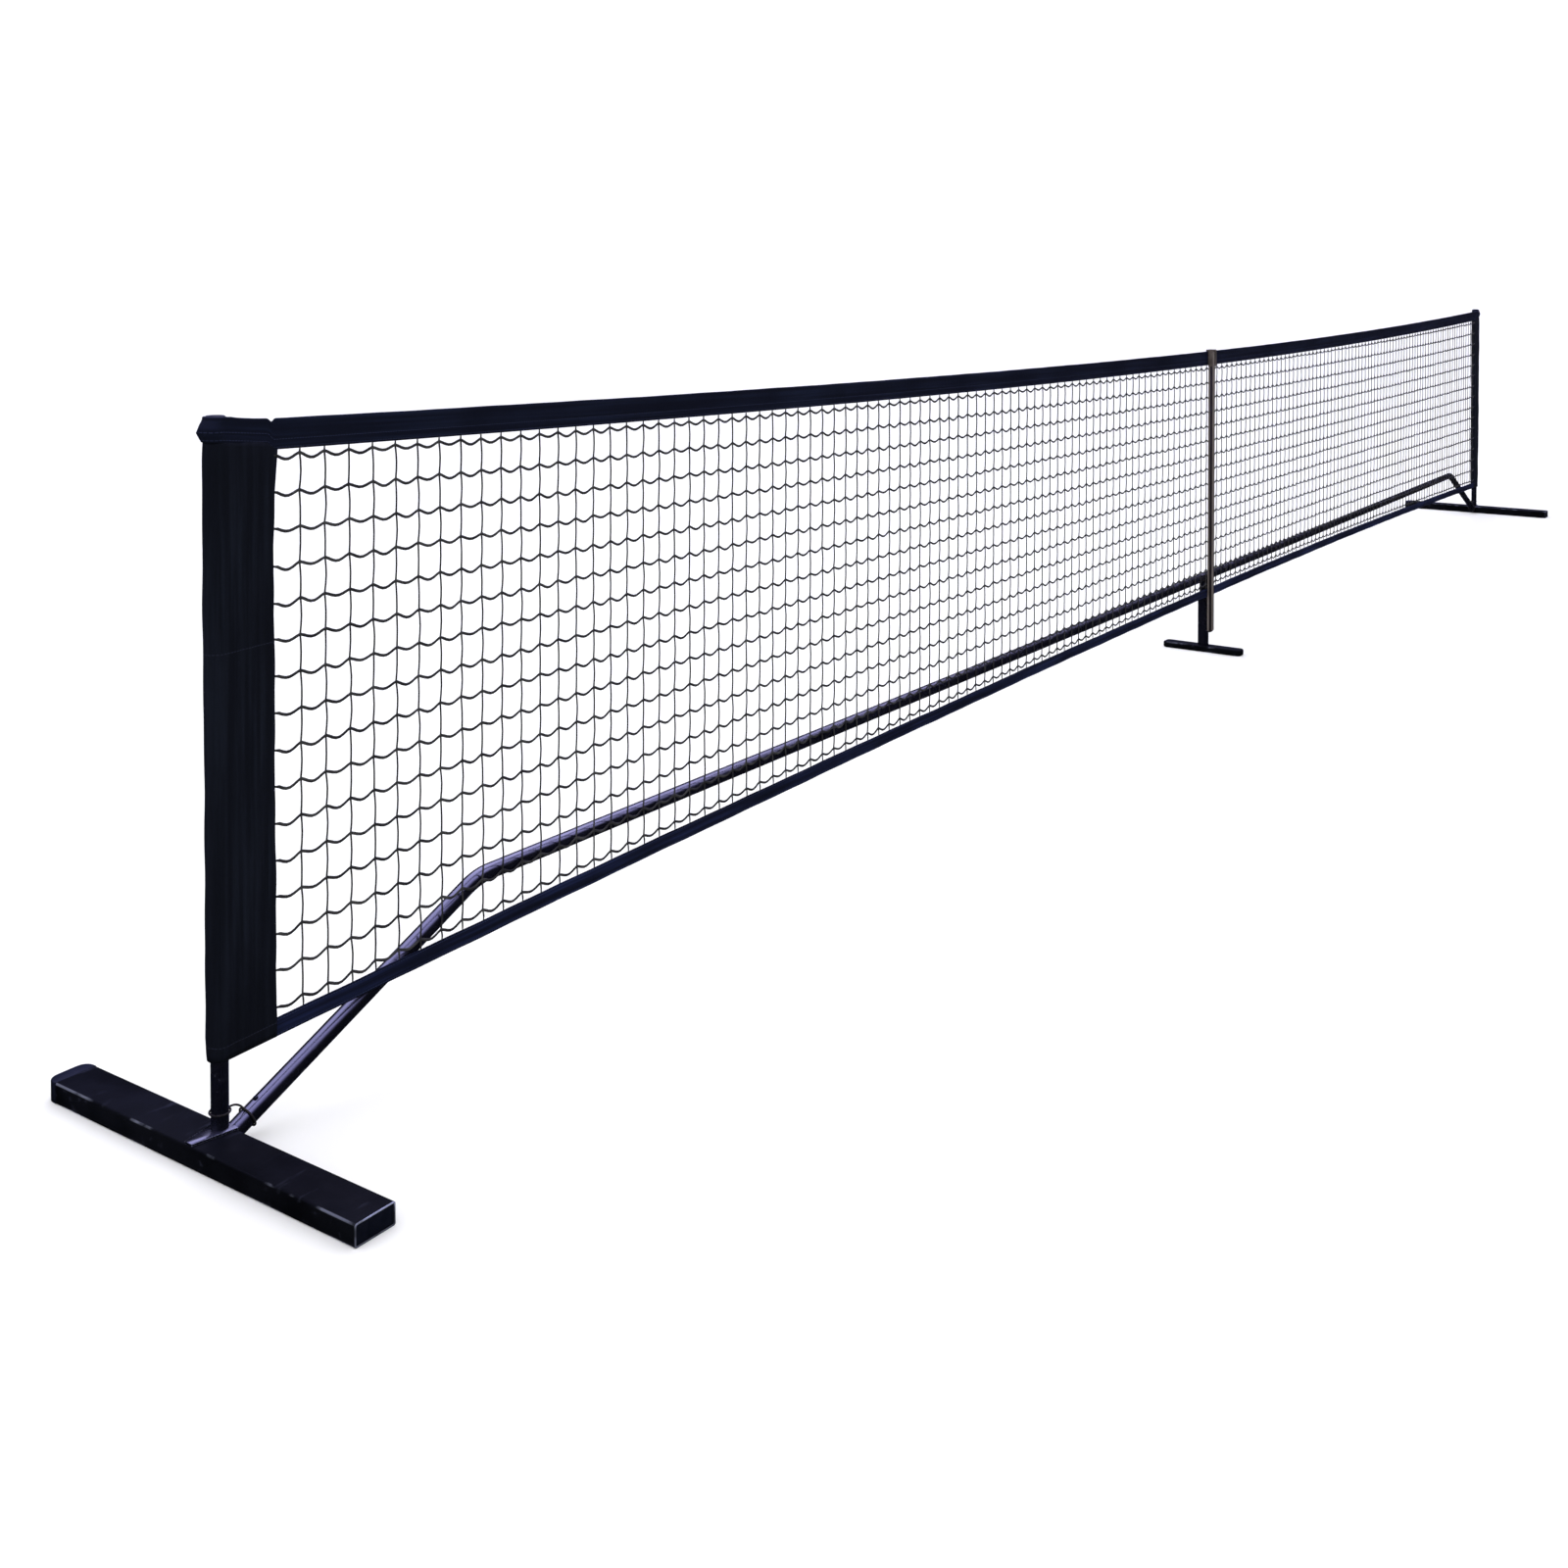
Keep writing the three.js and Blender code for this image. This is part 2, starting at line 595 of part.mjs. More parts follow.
// A moulded head round the bar's top: two front cheeks, a bridge over the top band and a lip behind it.
function barHook(top) {
  const barFront = BAR_Y - BAR_DEPTH / 2 - FIT_GAP;
  const barBack = BAR_Y + BAR_DEPTH / 2 + FIT_GAP / 2;
  const bandBack = NET_Y + BAND_THICKNESS / 2 + FIT_GAP * 2;
  const half = HOOK_WIDTH / 2;
  const barHalf = BAR_WIDTH / 2 + FIT_GAP;
  const ceiling = top - HOOK_TOP_WALL;
  const bottom = top - HOOK_HEIGHT;
  const beyond = 5;
  const body = block([-half, barFront - HOOK_WALL, bottom], [half, bandBack + HOOK_WALL, top]);
  const barSlot = block([-barHalf, barFront, bottom - beyond], [barHalf, barBack, ceiling]);
  const window = block(
    [-barHalf + HOOK_WALL, barFront - HOOK_WALL - beyond, bottom - beyond],
    [barHalf - HOOK_WALL, barBack, ceiling - HOOK_WALL],
  );
  const bandSlot = block(
    [-half - beyond, barBack - FIT_GAP, bottom - beyond],
    [half + beyond, bandBack, ceiling],
  );
  const belowLip = block(
    [-half - beyond, barBack, bottom - beyond],
    [half + beyond, bandBack + HOOK_WALL + beyond, top - HOOK_LIP_LENGTH],
  );
  return cut(body, barSlot, window, bandSlot, belowLip);
}

function buildCentre() {
  const centre = new THREE.Group();
  addPiece(centre, 'tee_coupler', teeCoupler(), powderCoat, [0, 0, RAIL_HEIGHT]);
  addPiece(centre, 'centre_foot', centreFoot(), powderCoat);
  const stub = pipe(STUB_RADIUS, STUB_BORE, CENTRE_FOOT_HEIGHT, STUB_TOP);
  addPiece(centre, 'centre_stub', stub, powderCoat);
  addPiece(centre, 'bar_bracket', barBracket(), powderCoat);
  const hookTop = TOP_AT_CENTRE + FIT_GAP + HOOK_TOP_WALL;
  const barBottom = BRACKET_HEIGHT + BRACKET_THICKNESS;
  const barLength = TOP_AT_CENTRE - barBottom;
  addPiece(centre, 'centre_bar', centreBar(barLength), barCoat, [0, BAR_Y, barBottom]);
  addPiece(centre, 'bar_hook', barHook(hookTop), greyPlastic);
  return centre;
}

// ---------------------------------------------------------------- the net

// Height of a sagging edge: a parabola through its height at the uprights and in the middle.
const sag = (atPosts, atCentre) => (x) => atCentre + (atPosts - atCentre) * (x / HALF_SPACING) ** 2;

const topEdge = sag(TOP_AT_POSTS, TOP_AT_CENTRE);
const topBandLowerEdge = (x) => topEdge(x) - TOP_BAND_HEIGHT;
const bandEndLowerEdge = (x) => topEdge(x) - BAND_END_HEIGHT;
const bottomEdge = sag(BOTTOM_AT_POSTS, BOTTOM_AT_CENTRE);
const bottomBandUpperEdge = (x) => bottomEdge(x) + BOTTOM_BAND_HEIGHT;

// The sheet between two edges, from xFrom to xTo and from yFrom to yTo.
function sheet(lower, upper, xFrom, xTo, yFrom, yTo) {
  const xs = Array.from({ length: SAG_STEPS + 1 }, (_, i) => xFrom + ((xTo - xFrom) * i) / SAG_STEPS);
  const outline = [
    ...xs.map((x) => new THREE.Vector2(x, lower(x))),
    ...xs.reverse().map((x) => new THREE.Vector2(x, upper(x))),
  ];
  return prism(new THREE.Shape(outline), yTo - yFrom).rotateX(Math.PI / 2).translate(0, yTo, 0);
}

function netSheet(lower, upper, halfLength, thickness) {
  return sheet(lower, upper, -halfLength, halfLength, NET_Y - thickness / 2, NET_Y + thickness / 2);
}

// The pole pocket seen from above: the fabric passes the upright in front, goes round it and comes back to
// meet itself, then runs on as a flat tail. side is -1 at the left upright and 1 at the right one.
function pocket(side, bottom, top, tail) {
  const half = BAND_THICKNESS / 2;
  const outerRadius = half - NET_Y;
  const innerRadius = outerRadius - POCKET_FABRIC;
  const inward = -side;
  const returnAngle = (radius, reach) => {
    const meeting = new THREE.Vector2(reach, NET_Y + half);
    const angle = Math.atan2(meeting.y, meeting.x) + Math.acos(radius / meeting.length());
    return inward > 0 ? angle : Math.PI - angle;
  };
  const clockwise = inward > 0;
  const foldX = POCKET_REACH - POCKET_FOLD;
  const outline = new THREE.Shape();
  outline.moveTo(inward * tail, -outerRadius);
  outline.lineTo(0, -outerRadius);
  outline.absarc(0, 0, outerRadius, -Math.PI / 2, returnAngle(outerRadius, POCKET_REACH), clockwise);
  outline.lineTo(inward * POCKET_REACH, NET_Y + half);
  outline.lineTo(inward * tail, NET_Y + half);
  const inside = new THREE.Path();
  inside.absarc(0, 0, innerRadius, returnAngle(innerRadius, foldX), -Math.PI / 2, !clockwise);
  inside.lineTo(inward * foldX, NET_Y + half);
  outline.holes.push(inside);
  return prism(outline, top - bottom, 8).translate(side * HALF_SPACING, 0, bottom);
}

// Everything between two edges, well past the net on all its other sides.
const MARGIN = 40;
const layer = (lower, upper) =>
  sheet(lower, upper, -HALF_SPACING - MARGIN, HALF_SPACING + MARGIN, -MARGIN, MARGIN);

// The band's ends, where it is folded narrower and wraps round the uprights, lap over the main strip.
function topBand(innerHalf) {
  const strip = netSheet(topBandLowerEdge, topEdge, innerHalf, BAND_THICKNESS);
  const tail = SLEEVE_TAIL + BAND_END_OVERLAP;
  const ends = [-1, 1].map((side) => pocket(side, TOP_AT_CENTRE, TOP_AT_POSTS + MARGIN, tail));
  const endLayer = toSolid(layer(bandEndLowerEdge, topEdge));
  const trimmedEnds = ends.map((end) => toSolid(end).intersect(endLayer));
  return toGeometry(trimmedEnds.reduce((sum, end) => sum.add(end), toSolid(strip)));
}

// A sleeve stops just under the end of the top band.
function sleeve(side) {
  const tall = pocket(side, SLEEVE_BOTTOM, TOP_AT_POSTS, SLEEVE_TAIL);
  const stop = (x) => bandEndLowerEdge(x) - SEAM_GAP;
  const above = (x) => topEdge(x) + MARGIN;
  return cut(tall, layer(stop, above));
}

function buildNet() {
  const net = new THREE.Group();
  const innerHalf = HALF_SPACING - SLEEVE_TAIL - SEAM_GAP;
  const nettingLower = (x) => bottomBandUpperEdge(x) + SEAM_GAP;
  const nettingUpper = (x) => topBandLowerEdge(x) - SEAM_GAP;
  const bottomBand = netSheet(bottomEdge, bottomBandUpperEdge, innerHalf, BAND_THICKNESS);
  addPiece(net, 'netting', netSheet(nettingLower, nettingUpper, innerHalf, NETTING_THICKNESS), netCord);
  addPiece(net, 'top_band', topBand(innerHalf), bandFabric);
  addPiece(net, 'bottom_band', bottomBand, bandFabric);
  addPiece(net, 'left_sleeve', sleeve(-1), sleeveFabric);
  addPiece(net, 'right_sleeve', sleeve(1), sleeveFabric);
  return net;
}

// ---------------------------------------------------------------- the whole object

const group = new THREE.Group();
const leftEnd = buildEnd('left');
leftEnd.position.x = -HALF_SPACING;
group.add(leftEnd);
const rightEnd = buildEnd('right');
rightEnd.position.x = HALF_SPACING;
rightEnd.scale.x = -1;
group.add(rightEnd);
group.add(buildCentre());
group.add(buildNet());

export default group;
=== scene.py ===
"""Looks for a portable pickleball net: cords, bands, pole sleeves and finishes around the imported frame.

Everything is in metres. X runs along the net, -Y is the front and +Z is up.
"""
import json
import math

import bpy
import numpy as np
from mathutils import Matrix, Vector


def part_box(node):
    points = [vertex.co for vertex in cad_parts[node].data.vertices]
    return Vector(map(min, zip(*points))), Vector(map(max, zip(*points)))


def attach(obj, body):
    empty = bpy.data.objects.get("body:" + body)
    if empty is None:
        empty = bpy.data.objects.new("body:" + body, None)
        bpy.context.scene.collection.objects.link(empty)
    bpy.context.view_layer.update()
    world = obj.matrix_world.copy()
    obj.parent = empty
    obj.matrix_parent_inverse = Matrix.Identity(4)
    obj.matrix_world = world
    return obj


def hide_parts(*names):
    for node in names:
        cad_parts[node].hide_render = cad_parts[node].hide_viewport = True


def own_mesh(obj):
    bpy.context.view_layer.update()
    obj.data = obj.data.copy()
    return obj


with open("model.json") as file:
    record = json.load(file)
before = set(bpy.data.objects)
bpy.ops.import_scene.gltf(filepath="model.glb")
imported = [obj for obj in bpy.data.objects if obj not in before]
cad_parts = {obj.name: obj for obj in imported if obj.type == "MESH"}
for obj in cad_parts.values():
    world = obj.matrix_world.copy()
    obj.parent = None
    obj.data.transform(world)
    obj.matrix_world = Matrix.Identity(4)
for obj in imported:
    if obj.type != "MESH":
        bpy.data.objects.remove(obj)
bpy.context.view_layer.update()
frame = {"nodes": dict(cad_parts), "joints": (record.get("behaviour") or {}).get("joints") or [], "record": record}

# ---------------------------------------------------------------- sizes

MM = 0.001
SEED = 7

# Netting: the cords, how they sag and how evenly they are knotted
CORD_ROWS = 16
CORD_COLUMNS = 160
ROW_CORD_RADIUS = 1.45 * MM
ROW_CORD_FLATNESS = 1.45
COLUMN_CORD_RADIUS = 1.3 * MM
CROSSING_RADIUS = 1.4 * MM
FIRST_ROW_BELOW_BAND = 6 * MM
LAST_ROW_ABOVE_BAND = 14 * MM
ROW_SAG = 7 * MM
SAG_SPREAD = (0.8, 1.15)
COLUMN_BOW = 1.8 * MM
BOW_SPREAD = (0.4, 1.3)
TOP_BOW_SHARE = 0.2
CORD_SWAY = 0.15 * MM
KNOT_RISE = 0.8 * MM
KNOT_SHIFT = 1 * MM
TUCK = 6 * MM
THINNING_STARTS = 2 * MM
SEWN_IN_SHARE = 0.35
ROW_STEPS = 7
COLUMN_STEPS = 4
CORD_SIDES = 6

# Pole pockets, shared by the top band and the sleeves
POCKET_REACH = 44 * MM
POCKET_FABRIC = 2.2 * MM
POCKET_STEP = 4 * MM
POCKET_ARC_POINTS = 36
TAIL_LENGTH = 76 * MM

# Top and bottom bands
BAND_STEP = 20 * MM
BAND_RIPPLE = 0.7 * MM
BAND_SWAY = 0.35 * MM
BAND_SWAY_LIMIT = 0.2 * MM
BAND_LIFT = 4.5 * MM
BAND_LIFT_FLAT = 12 * MM
BAND_LIFT_FADE = 22 * MM
BAND_NOTCH = 4.5 * MM
BAND_NOTCH_OFFSET = 3 * MM
BAND_NOTCH_WIDTH = 3.5 * MM
BAND_CORNER = 8 * MM
BAND_CORNER_START = 3 * MM
BAND_CORNER_RUN = 13 * MM
BAND_CORNER_HEIGHT = 0.6
BAND_END_TUCK = 7 * MM
BAND_END_TAPER = 6 * MM
BAND_END_STEP = 8 * MM
TAPE_END_FULL = 3 * MM

# Sleeves
SLEEVE_STEP = 9 * MM
SLEEVE_TAIL_STEP = 3 * MM
SLEEVE_FOLD = 2.4 * MM
SLEEVE_FLARE = 8 * MM
SLEEVE_FLARE_FADE = 40 * MM
SLEEVE_WANDER = 1.2 * MM
SLEEVE_SEAM = 504 * MM
SLEEVE_TUCK = 5 * MM
SLEEVE_THINNING = 0.12
TUCKED_THICKNESS = 0.6
FOLD_FADE = 12
TAIL_FLATTENING = 0.7
HEM = 18 * MM
HEM_GROOVE = 5 * MM
HEM_GROOVE_DEPTH = 0.35
STITCH_LENGTH = 4.5 * MM

# Tethers
TETHER_RADIUS = 1.3 * MM
TETHER_CLEARANCE = 0.3 * MM
TETHER_POINTS = 60
TETHER_SIDES = 12
TETHER_TURN = 2.05 * math.pi
TETHER_TOP_MARGIN = 1.2 * MM
TETHER_CREST = 1.5 * MM
TETHER_CREST_AT = 0.6


# ---------------------------------------------------------------- reading the frame

def node_vertices(node):
    """The CAD node's vertices as rows of x, y, z."""
    return np.array([v.co for v in frame["nodes"][node].data.vertices], float)


def edge_curves(node, inside=math.inf, reach=2 * MM):
    """The lower and upper edge of a hanging sheet as parabolas of x, read off its vertices."""
    points = node_vertices(node)
    points = points[np.abs(points[:, 0]) < inside]
    stations = np.unique(np.round(points[:, 0], 4))
    near = [points[np.abs(points[:, 0] - x) < reach, 2] for x in stations]
    lower = np.polyfit(stations, [z.min() for z in near], 2)
    upper = np.polyfit(stations, [z.max() for z in near], 2)
    return (lambda x: np.polyval(lower, x)), (lambda x: np.polyval(upper, x))


net_low, net_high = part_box("netting")
NET_Y = (net_low.y + net_high.y) / 2
NET_HALF = net_high.x
netting_lower, netting_upper = edge_curves("netting")
bottom_lower, bottom_upper = edge_curves("bottom_band")
_, band_upper = edge_curves("top_band", inside=NET_HALF)
post_low, post_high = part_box("right_post_tube")
POST_X = (post_low.x + post_high.x) / 2
POST_RADIUS = (post_high.x - post_low.x) / 2
tape_low, tape_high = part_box("bottom_band")
BAND_HALF = (tape_high.y - tape_low.y) / 2
BOTTOM_HEIGHT = float(bottom_upper(0) - bottom_lower(0))


# ---------------------------------------------------------------- mesh helpers

def make_piece(name, vertices, faces, uvs, materials, face_materials=None):
    """A smooth-shaded mesh object. uvs holds one pair for each corner of each face."""
    mesh = bpy.data.meshes.new(name)
    mesh.from_pydata(vertices, [], faces)
    layer = mesh.uv_layers.new(name="UVMap")
    layer.data.foreach_set("uv", np.asarray(uvs, np.float32).ravel())
    for material in materials:
        mesh.materials.append(material)
    if face_materials is not None:
        mesh.polygons.foreach_set("material_index", face_materials)
    mesh.polygons.foreach_set("use_smooth", [True] * len(mesh.polygons))
    mesh.update()
    piece = bpy.data.objects.new(name, mesh)
    bpy.context.collection.objects.link(piece)
    return piece


def stand_in(piece, node, body):
    """Shows a piece in place of a CAD node, moving with the body."""
    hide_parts(node)
    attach(piece, body)


def grid_faces(rows, columns):
    """Quads over a grid of vertices that closes round its columns, as row and column pairs."""
    row, column = np.meshgrid(np.arange(rows - 1), np.arange(columns), indexing="ij")
    corners = [(row, column), (row, column + 1), (row + 1, column + 1), (row + 1, column)]
    return np.stack([np.stack([r.ravel(), c.ravel()], -1) for r, c in corners], 1)


def cords(paths, radii, reference, sides=CORD_SIDES, flatness=1.0):
    """Cords along equal-length paths, flatness times wider across the reference direction than along it.

    UVs are the length along the cord and the turn round it.
    """
    paths = np.asarray(paths, float)
    count, length = paths.shape[:2]
    along = np.gradient(paths, axis=1)
    along /= np.linalg.norm(along, axis=2, keepdims=True)
    across = np.cross(along, reference)
    across /= np.linalg.norm(across, axis=2, keepdims=True)
    over = np.cross(across, along)
    turn = np.linspace(0, 2 * math.pi, sides, endpoint=False)[:, None]
    ring = across[:, :, None] * np.cos(turn) * flatness + over[:, :, None] * np.sin(turn)
    radii = np.broadcast_to(radii, paths.shape[:2])[..., None, None]
    vertices = (paths[:, :, None] + ring * radii).reshape(-1, 3)
    travelled = np.zeros((count, length))
    travelled[:, 1:] = np.cumsum(np.linalg.norm(np.diff(paths, axis=1), axis=2), axis=1)
    quads = grid_faces(length, sides)
    one = quads[..., 0] * sides + quads[..., 1] % sides
    faces = (one[None] + (np.arange(count) * length * sides)[:, None, None]).reshape(-1, 4)
    u = travelled[:, quads[..., 0]]
    v = np.broadcast_to(quads[..., 1] / sides, u.shape)
    return vertices, faces, np.stack([u, v], -1).reshape(-1, 2)


def merged(parts):
    """Several (vertices, faces, uvs) joined, with the index of the part each face came from."""
    starts = np.cumsum([0] + [len(vertices) for vertices, _, _ in parts[:-1]])
    vertices = np.concatenate([vertices for vertices, _, _ in parts])
    faces = np.concatenate([faces + start for (_, faces, _), start in zip(parts, starts)])
    uvs = np.concatenate([uv for _, _, uv in parts])
    origin = np.repeat(np.arange(len(parts)), [len(faces) for _, faces, _ in parts])
    return vertices, faces, uvs, origin


def loft(plan, upper, drops, offsets):
    """A closed strip of fabric: at each plan point a loop of (drop below upper, offset outwards) points.

    UVs are the length along the plan and the height above the strip's lower edge.
    """
    direction = np.gradient(plan, axis=0)
    direction /= np.linalg.norm(direction, axis=1, keepdims=True)
    outward = np.stack([direction[:, 1], -direction[:, 0]], 1)
    rows, columns = drops.shape
    ground = plan[:, None] + outward[:, None] * offsets[..., None]
    heights = upper[:, None] - drops
    vertices = np.concatenate([ground, heights[..., None]], 2).reshape(-1, 3)
    travelled = np.concatenate([[0], np.cumsum(np.linalg.norm(np.diff(plan, axis=0), axis=1))])
    quads = grid_faces(rows, columns)
    faces = quads[..., 0] * columns + quads[..., 1] % columns
    height_above = drops.max(1, keepdims=True) - drops
    u = travelled[quads[..., 0]]
    v = height_above[quads[..., 0], quads[..., 1] % columns]
    ends = [list(range(columns))[::-1], list(range((rows - 1) * columns, rows * columns))]
    end_uvs = [(travelled[row], height) for row in (0, rows - 1) for height in height_above[row]]
    return vertices, faces.tolist() + ends, np.concatenate([np.stack([u, v], -1).reshape(-1, 2), end_uvs])


def waves(u, v, *terms):
    """A sum of sine waves over u and v, each term (waves per metre of u, of v, phase)."""
    return sum(np.sin(2 * math.pi * (u * fu + v * fv) + phase) for fu, fv, phase in terms) / len(terms)


# ---------------------------------------------------------------- materials

NAVY_BLACK = (0.002, 0.0022, 0.005, 1)
NAVY_BLACK_LIGHT = (0.004, 0.0045, 0.01, 1)
COAT_REFLECTION = (0.8, 0.8, 1, 1)
SCUFFED = (0.03, 0.032, 0.05, 1)
# Bare steel colour, used for wear and for painted highlight on edges
BARE_STEEL = (0.32, 0.34, 0.46, 1)
BRIGHT_STEEL = (0.75, 0.76, 0.78, 1)
BAR_FLAT = (0.1, 0.085, 0.075, 1)
BAR_FLAT_LIGHT = (0.15, 0.13, 0.115, 1)
# How far the painted shade reaches from the bar's front corners
BAR_CORNER_RUN = (4.5 * MM, 7 * MM)
# Painted shade between the threads of a weave
BETWEEN_THREADS = (0.001, 0.001, 0.002, 1)
# Painted shade in the grooves between cord strands
BETWEEN_STRANDS = (0.002, 0.002, 0.002, 1)
STITCH_GAP = (0.35 * MM, 0.8 * MM)
STITCH_WIDTH = (0.35 * MM, 0.75 * MM)
CUT_RIM = (0.3 * MM, 1.2 * MM)
FLOOR_WHITE = ((0.86, 0.86, 0.86, 1), (0.89, 0.89, 0.89, 1))


class Nodes:
    """A material's node tree, built call by call. Inputs are numbers, colours or other nodes' outputs."""

    def __init__(self, name):
        self.material = bpy.data.materials.new(name)
        self.material.use_nodes = True
        self.tree = self.material.node_tree
        self.shader = self.tree.nodes["Principled BSDF"]
        coordinates = self.tree.nodes.new("ShaderNodeTexCoord")
        self.place = coordinates.outputs["Object"]
        self.uv = coordinates.outputs["UV"]

    def add(self, kind, inputs, output=0, **settings):
        node = self.tree.nodes.new(kind)
        for key, value in settings.items():
            setattr(node, key, value)
        for key, value in inputs.items():
            self.feed(node.inputs[key], value)
        return node.outputs[output]

    def feed(self, socket, value):
        if isinstance(value, bpy.types.NodeSocket):
            self.tree.links.new(value, socket)
        else:
            socket.default_value = value

    def set(self, **inputs):
        for key, value in inputs.items():
            self.feed(self.shader.inputs[key.replace("_", " ")], value)

    def math(self, operation, *values):
        return self.add("ShaderNodeMath", dict(enumerate(values)), operation=operation)

    def noise(self, scale, detail=3.0, stretch=(1, 1, 1), at=None):
        moved = self.add("ShaderNodeVectorMath", {0: at or self.place, 1: stretch}, operation="MULTIPLY")
        return self.add("ShaderNodeTexNoise", {"Vector": moved, "Scale": scale, "Detail": detail})

    def ramp(self, value, low, high, to_low=0.0, to_high=1.0):
        inputs = {"Value": value, "From Min": low, "From Max": high, "To Min": to_low, "To Max": to_high}
        return self.add("ShaderNodeMapRange", inputs, interpolation_type="SMOOTHSTEP")

    def mix(self, share, first, second):
        node = self.tree.nodes.new("ShaderNodeMix")
        node.data_type = "RGBA"
        for index, value in ((0, share), (6, first), (7, second)):
            self.feed(node.inputs[index], value)
        return node.outputs[2]

    def bump(self, height, strength, distance, normal=None):
        inputs = {"Height": height, "Strength": strength, "Distance": distance}
        if normal is not None:
            inputs["Normal"] = normal
        return self.add("ShaderNodeBump", inputs)

    def separate(self, vector):
        node = self.tree.nodes.new("ShaderNodeSeparateXYZ")
        self.tree.links.new(vector, node.inputs[0])
        return node.outputs


def coated_metal(name, colour, light, roughness=(0.18, 0.3), gloss=0.5, worn=None, tint=None):
    """Powder coat: fine orange peel, uneven sheen, scuffs, and bare metal where the given mask says; that bare
    metal is partly wear and partly painted highlight.
    """
    nodes = Nodes(name)
    peel = nodes.noise(scale=900, detail=2)
    patches = nodes.noise(scale=9, detail=4)
    scuffs = nodes.ramp(nodes.noise(scale=70, detail=6, stretch=(0.25, 1, 1)), 0.6, 0.74)
    base = nodes.mix(nodes.ramp(patches, 0.35, 0.7), colour, light)
    if tint is not None:
        base = tint(nodes, base)
    base = nodes.mix(nodes.math("MULTIPLY", scuffs, 0.3), base, SCUFFED)
    rough = nodes.ramp(nodes.noise(scale=26, detail=5), 0.3, 0.7, *roughness)
    rough = nodes.math("ADD", rough, nodes.math("MULTIPLY", scuffs, 0.15))
    metallic = 0.0
    if worn is not None:
        # Bare metal here is partly wear and partly painted highlight
        share = worn(nodes)
        base = nodes.mix(share, base, BARE_STEEL)
        metallic = nodes.ramp(share, 0, 1, 0.0, 0.4)
    nodes.set(Base_Color=base, Roughness=rough, Metallic=metallic, Specular_IOR_Level=gloss,
              Specular_Tint=COAT_REFLECTION, Normal=nodes.bump(peel, 0.25, 0.15 * MM))
    return nodes.material


def worn_corners(nodes, amount):
    """A broken line of wear and painted highlight where a long rounded corner turns from the side to the top."""
    normal = nodes.separate(nodes.add("ShaderNodeNewGeometry", {}, output=1))
    corner = nodes.math("ABSOLUTE", nodes.math("MULTIPLY", normal[0], normal[2]))
    broken = nodes.ramp(nodes.noise(scale=16, detail=5), 0.5, 0.62, 0, amount)
    return nodes.math("MULTIPLY", nodes.ramp(corner, 0.15, 0.42), broken)


def bare_ends(nodes):
    """Bare metal on the cut front end of each foot, most on its top edge, partly wear and partly painted
    highlight, and the same along its corners.
    """
    place = nodes.separate(nodes.place)
    foot_low, foot_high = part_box("left_foot_tube")
    rim = nodes.ramp(place[1], foot_low.y + CUT_RIM[0], foot_low.y + CUT_RIM[1], 1, 0)
    rubbed = nodes.ramp(nodes.noise(scale=55, detail=4), 0.4, 0.6, 0.4, 1)
    # Stronger towards the top edge: painted highlight
    height = nodes.ramp(place[2], foot_high.z * 0.7, foot_high.z, 0.2, 0.8)
    cut_end = nodes.math("MULTIPLY", rim, nodes.math("MULTIPLY", rubbed, height))
    return nodes.math("MAXIMUM", cut_end, worn_corners(nodes, 0.28))


def bare_edges(nodes):
    """Painted highlight along the edges of the plate, drawn as bare metal."""
    rounded = nodes.add("ShaderNodeBevel", {"Radius": 1.2 * MM}, samples=4)
    flat = nodes.add("ShaderNodeNewGeometry", {}, output=1)
    turned = nodes.add("ShaderNodeVectorMath", {0: rounded, 1: flat}, output=1, operation="DOT_PRODUCT")
    return nodes.math("MULTIPLY", nodes.ramp(turned, 0.86, 0.99, 0.9, 0),
                      nodes.ramp(nodes.noise(scale=60, detail=4), 0.38, 0.5, 0.3, 1))


def pale_flats(nodes, base):
    """Painted shade along the bar's two front corners, with paler flats away from them."""
    low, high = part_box("centre_bar")
    place = nodes.separate(nodes.place)
    sideways = nodes.math("SUBTRACT", high.x, nodes.math("ABSOLUTE", place[0]))
    backwards = nodes.math("SUBTRACT", place[1], low.y)
    away = nodes.math("MAXIMUM", sideways, backwards)
    pale = nodes.mix(nodes.noise(scale=24, detail=4), BAR_FLAT, BAR_FLAT_LIGHT)
    return nodes.mix(nodes.ramp(away, *BAR_CORNER_RUN), base, pale)


def moulded_plastic(name, colour, light):
    """Fine-grained plastic with slightly uneven gloss."""
    nodes = Nodes(name)
    grain = nodes.add("ShaderNodeTexVoronoi", {"Vector": nodes.place, "Scale": 1500.0})
    cloud = nodes.noise(scale=60, detail=4)
    nodes.set(Base_Color=nodes.mix(nodes.ramp(cloud, 0.3, 0.7), colour, light),
              Roughness=nodes.ramp(cloud, 0.3, 0.7, 0.5, 0.65), Specular_IOR_Level=0.04,
              Normal=nodes.bump(grain, 0.35, 0.12 * MM))
    return nodes.material


def brushed_metal(name, colour):
    """Bright spring steel with drawn lines."""
    nodes = Nodes(name)
    lines = nodes.noise(scale=500, detail=4, stretch=(0.04, 1, 1))
    nodes.set(Base_Color=nodes.mix(nodes.ramp(lines, 0.3, 0.7), colour, BRIGHT_STEEL), Metallic=1.0,
              Roughness=nodes.ramp(lines, 0.3, 0.7, 0.22, 0.42), Normal=nodes.bump(lines, 0.2, 0.05 * MM))
    return nodes.material


def woven(nodes, pitch):
    """Height of a plain weave on the UV grid, with the given thread pitch in metres."""
    u, v, _ = nodes.separate(nodes.uv)
    wave = 2 * math.pi / pitch
    warp = nodes.math("SINE", nodes.math("MULTIPLY", u, wave))
    weft = nodes.math("SINE", nodes.math("MULTIPLY", v, wave))
    return nodes.math("MULTIPLY", warp, weft)


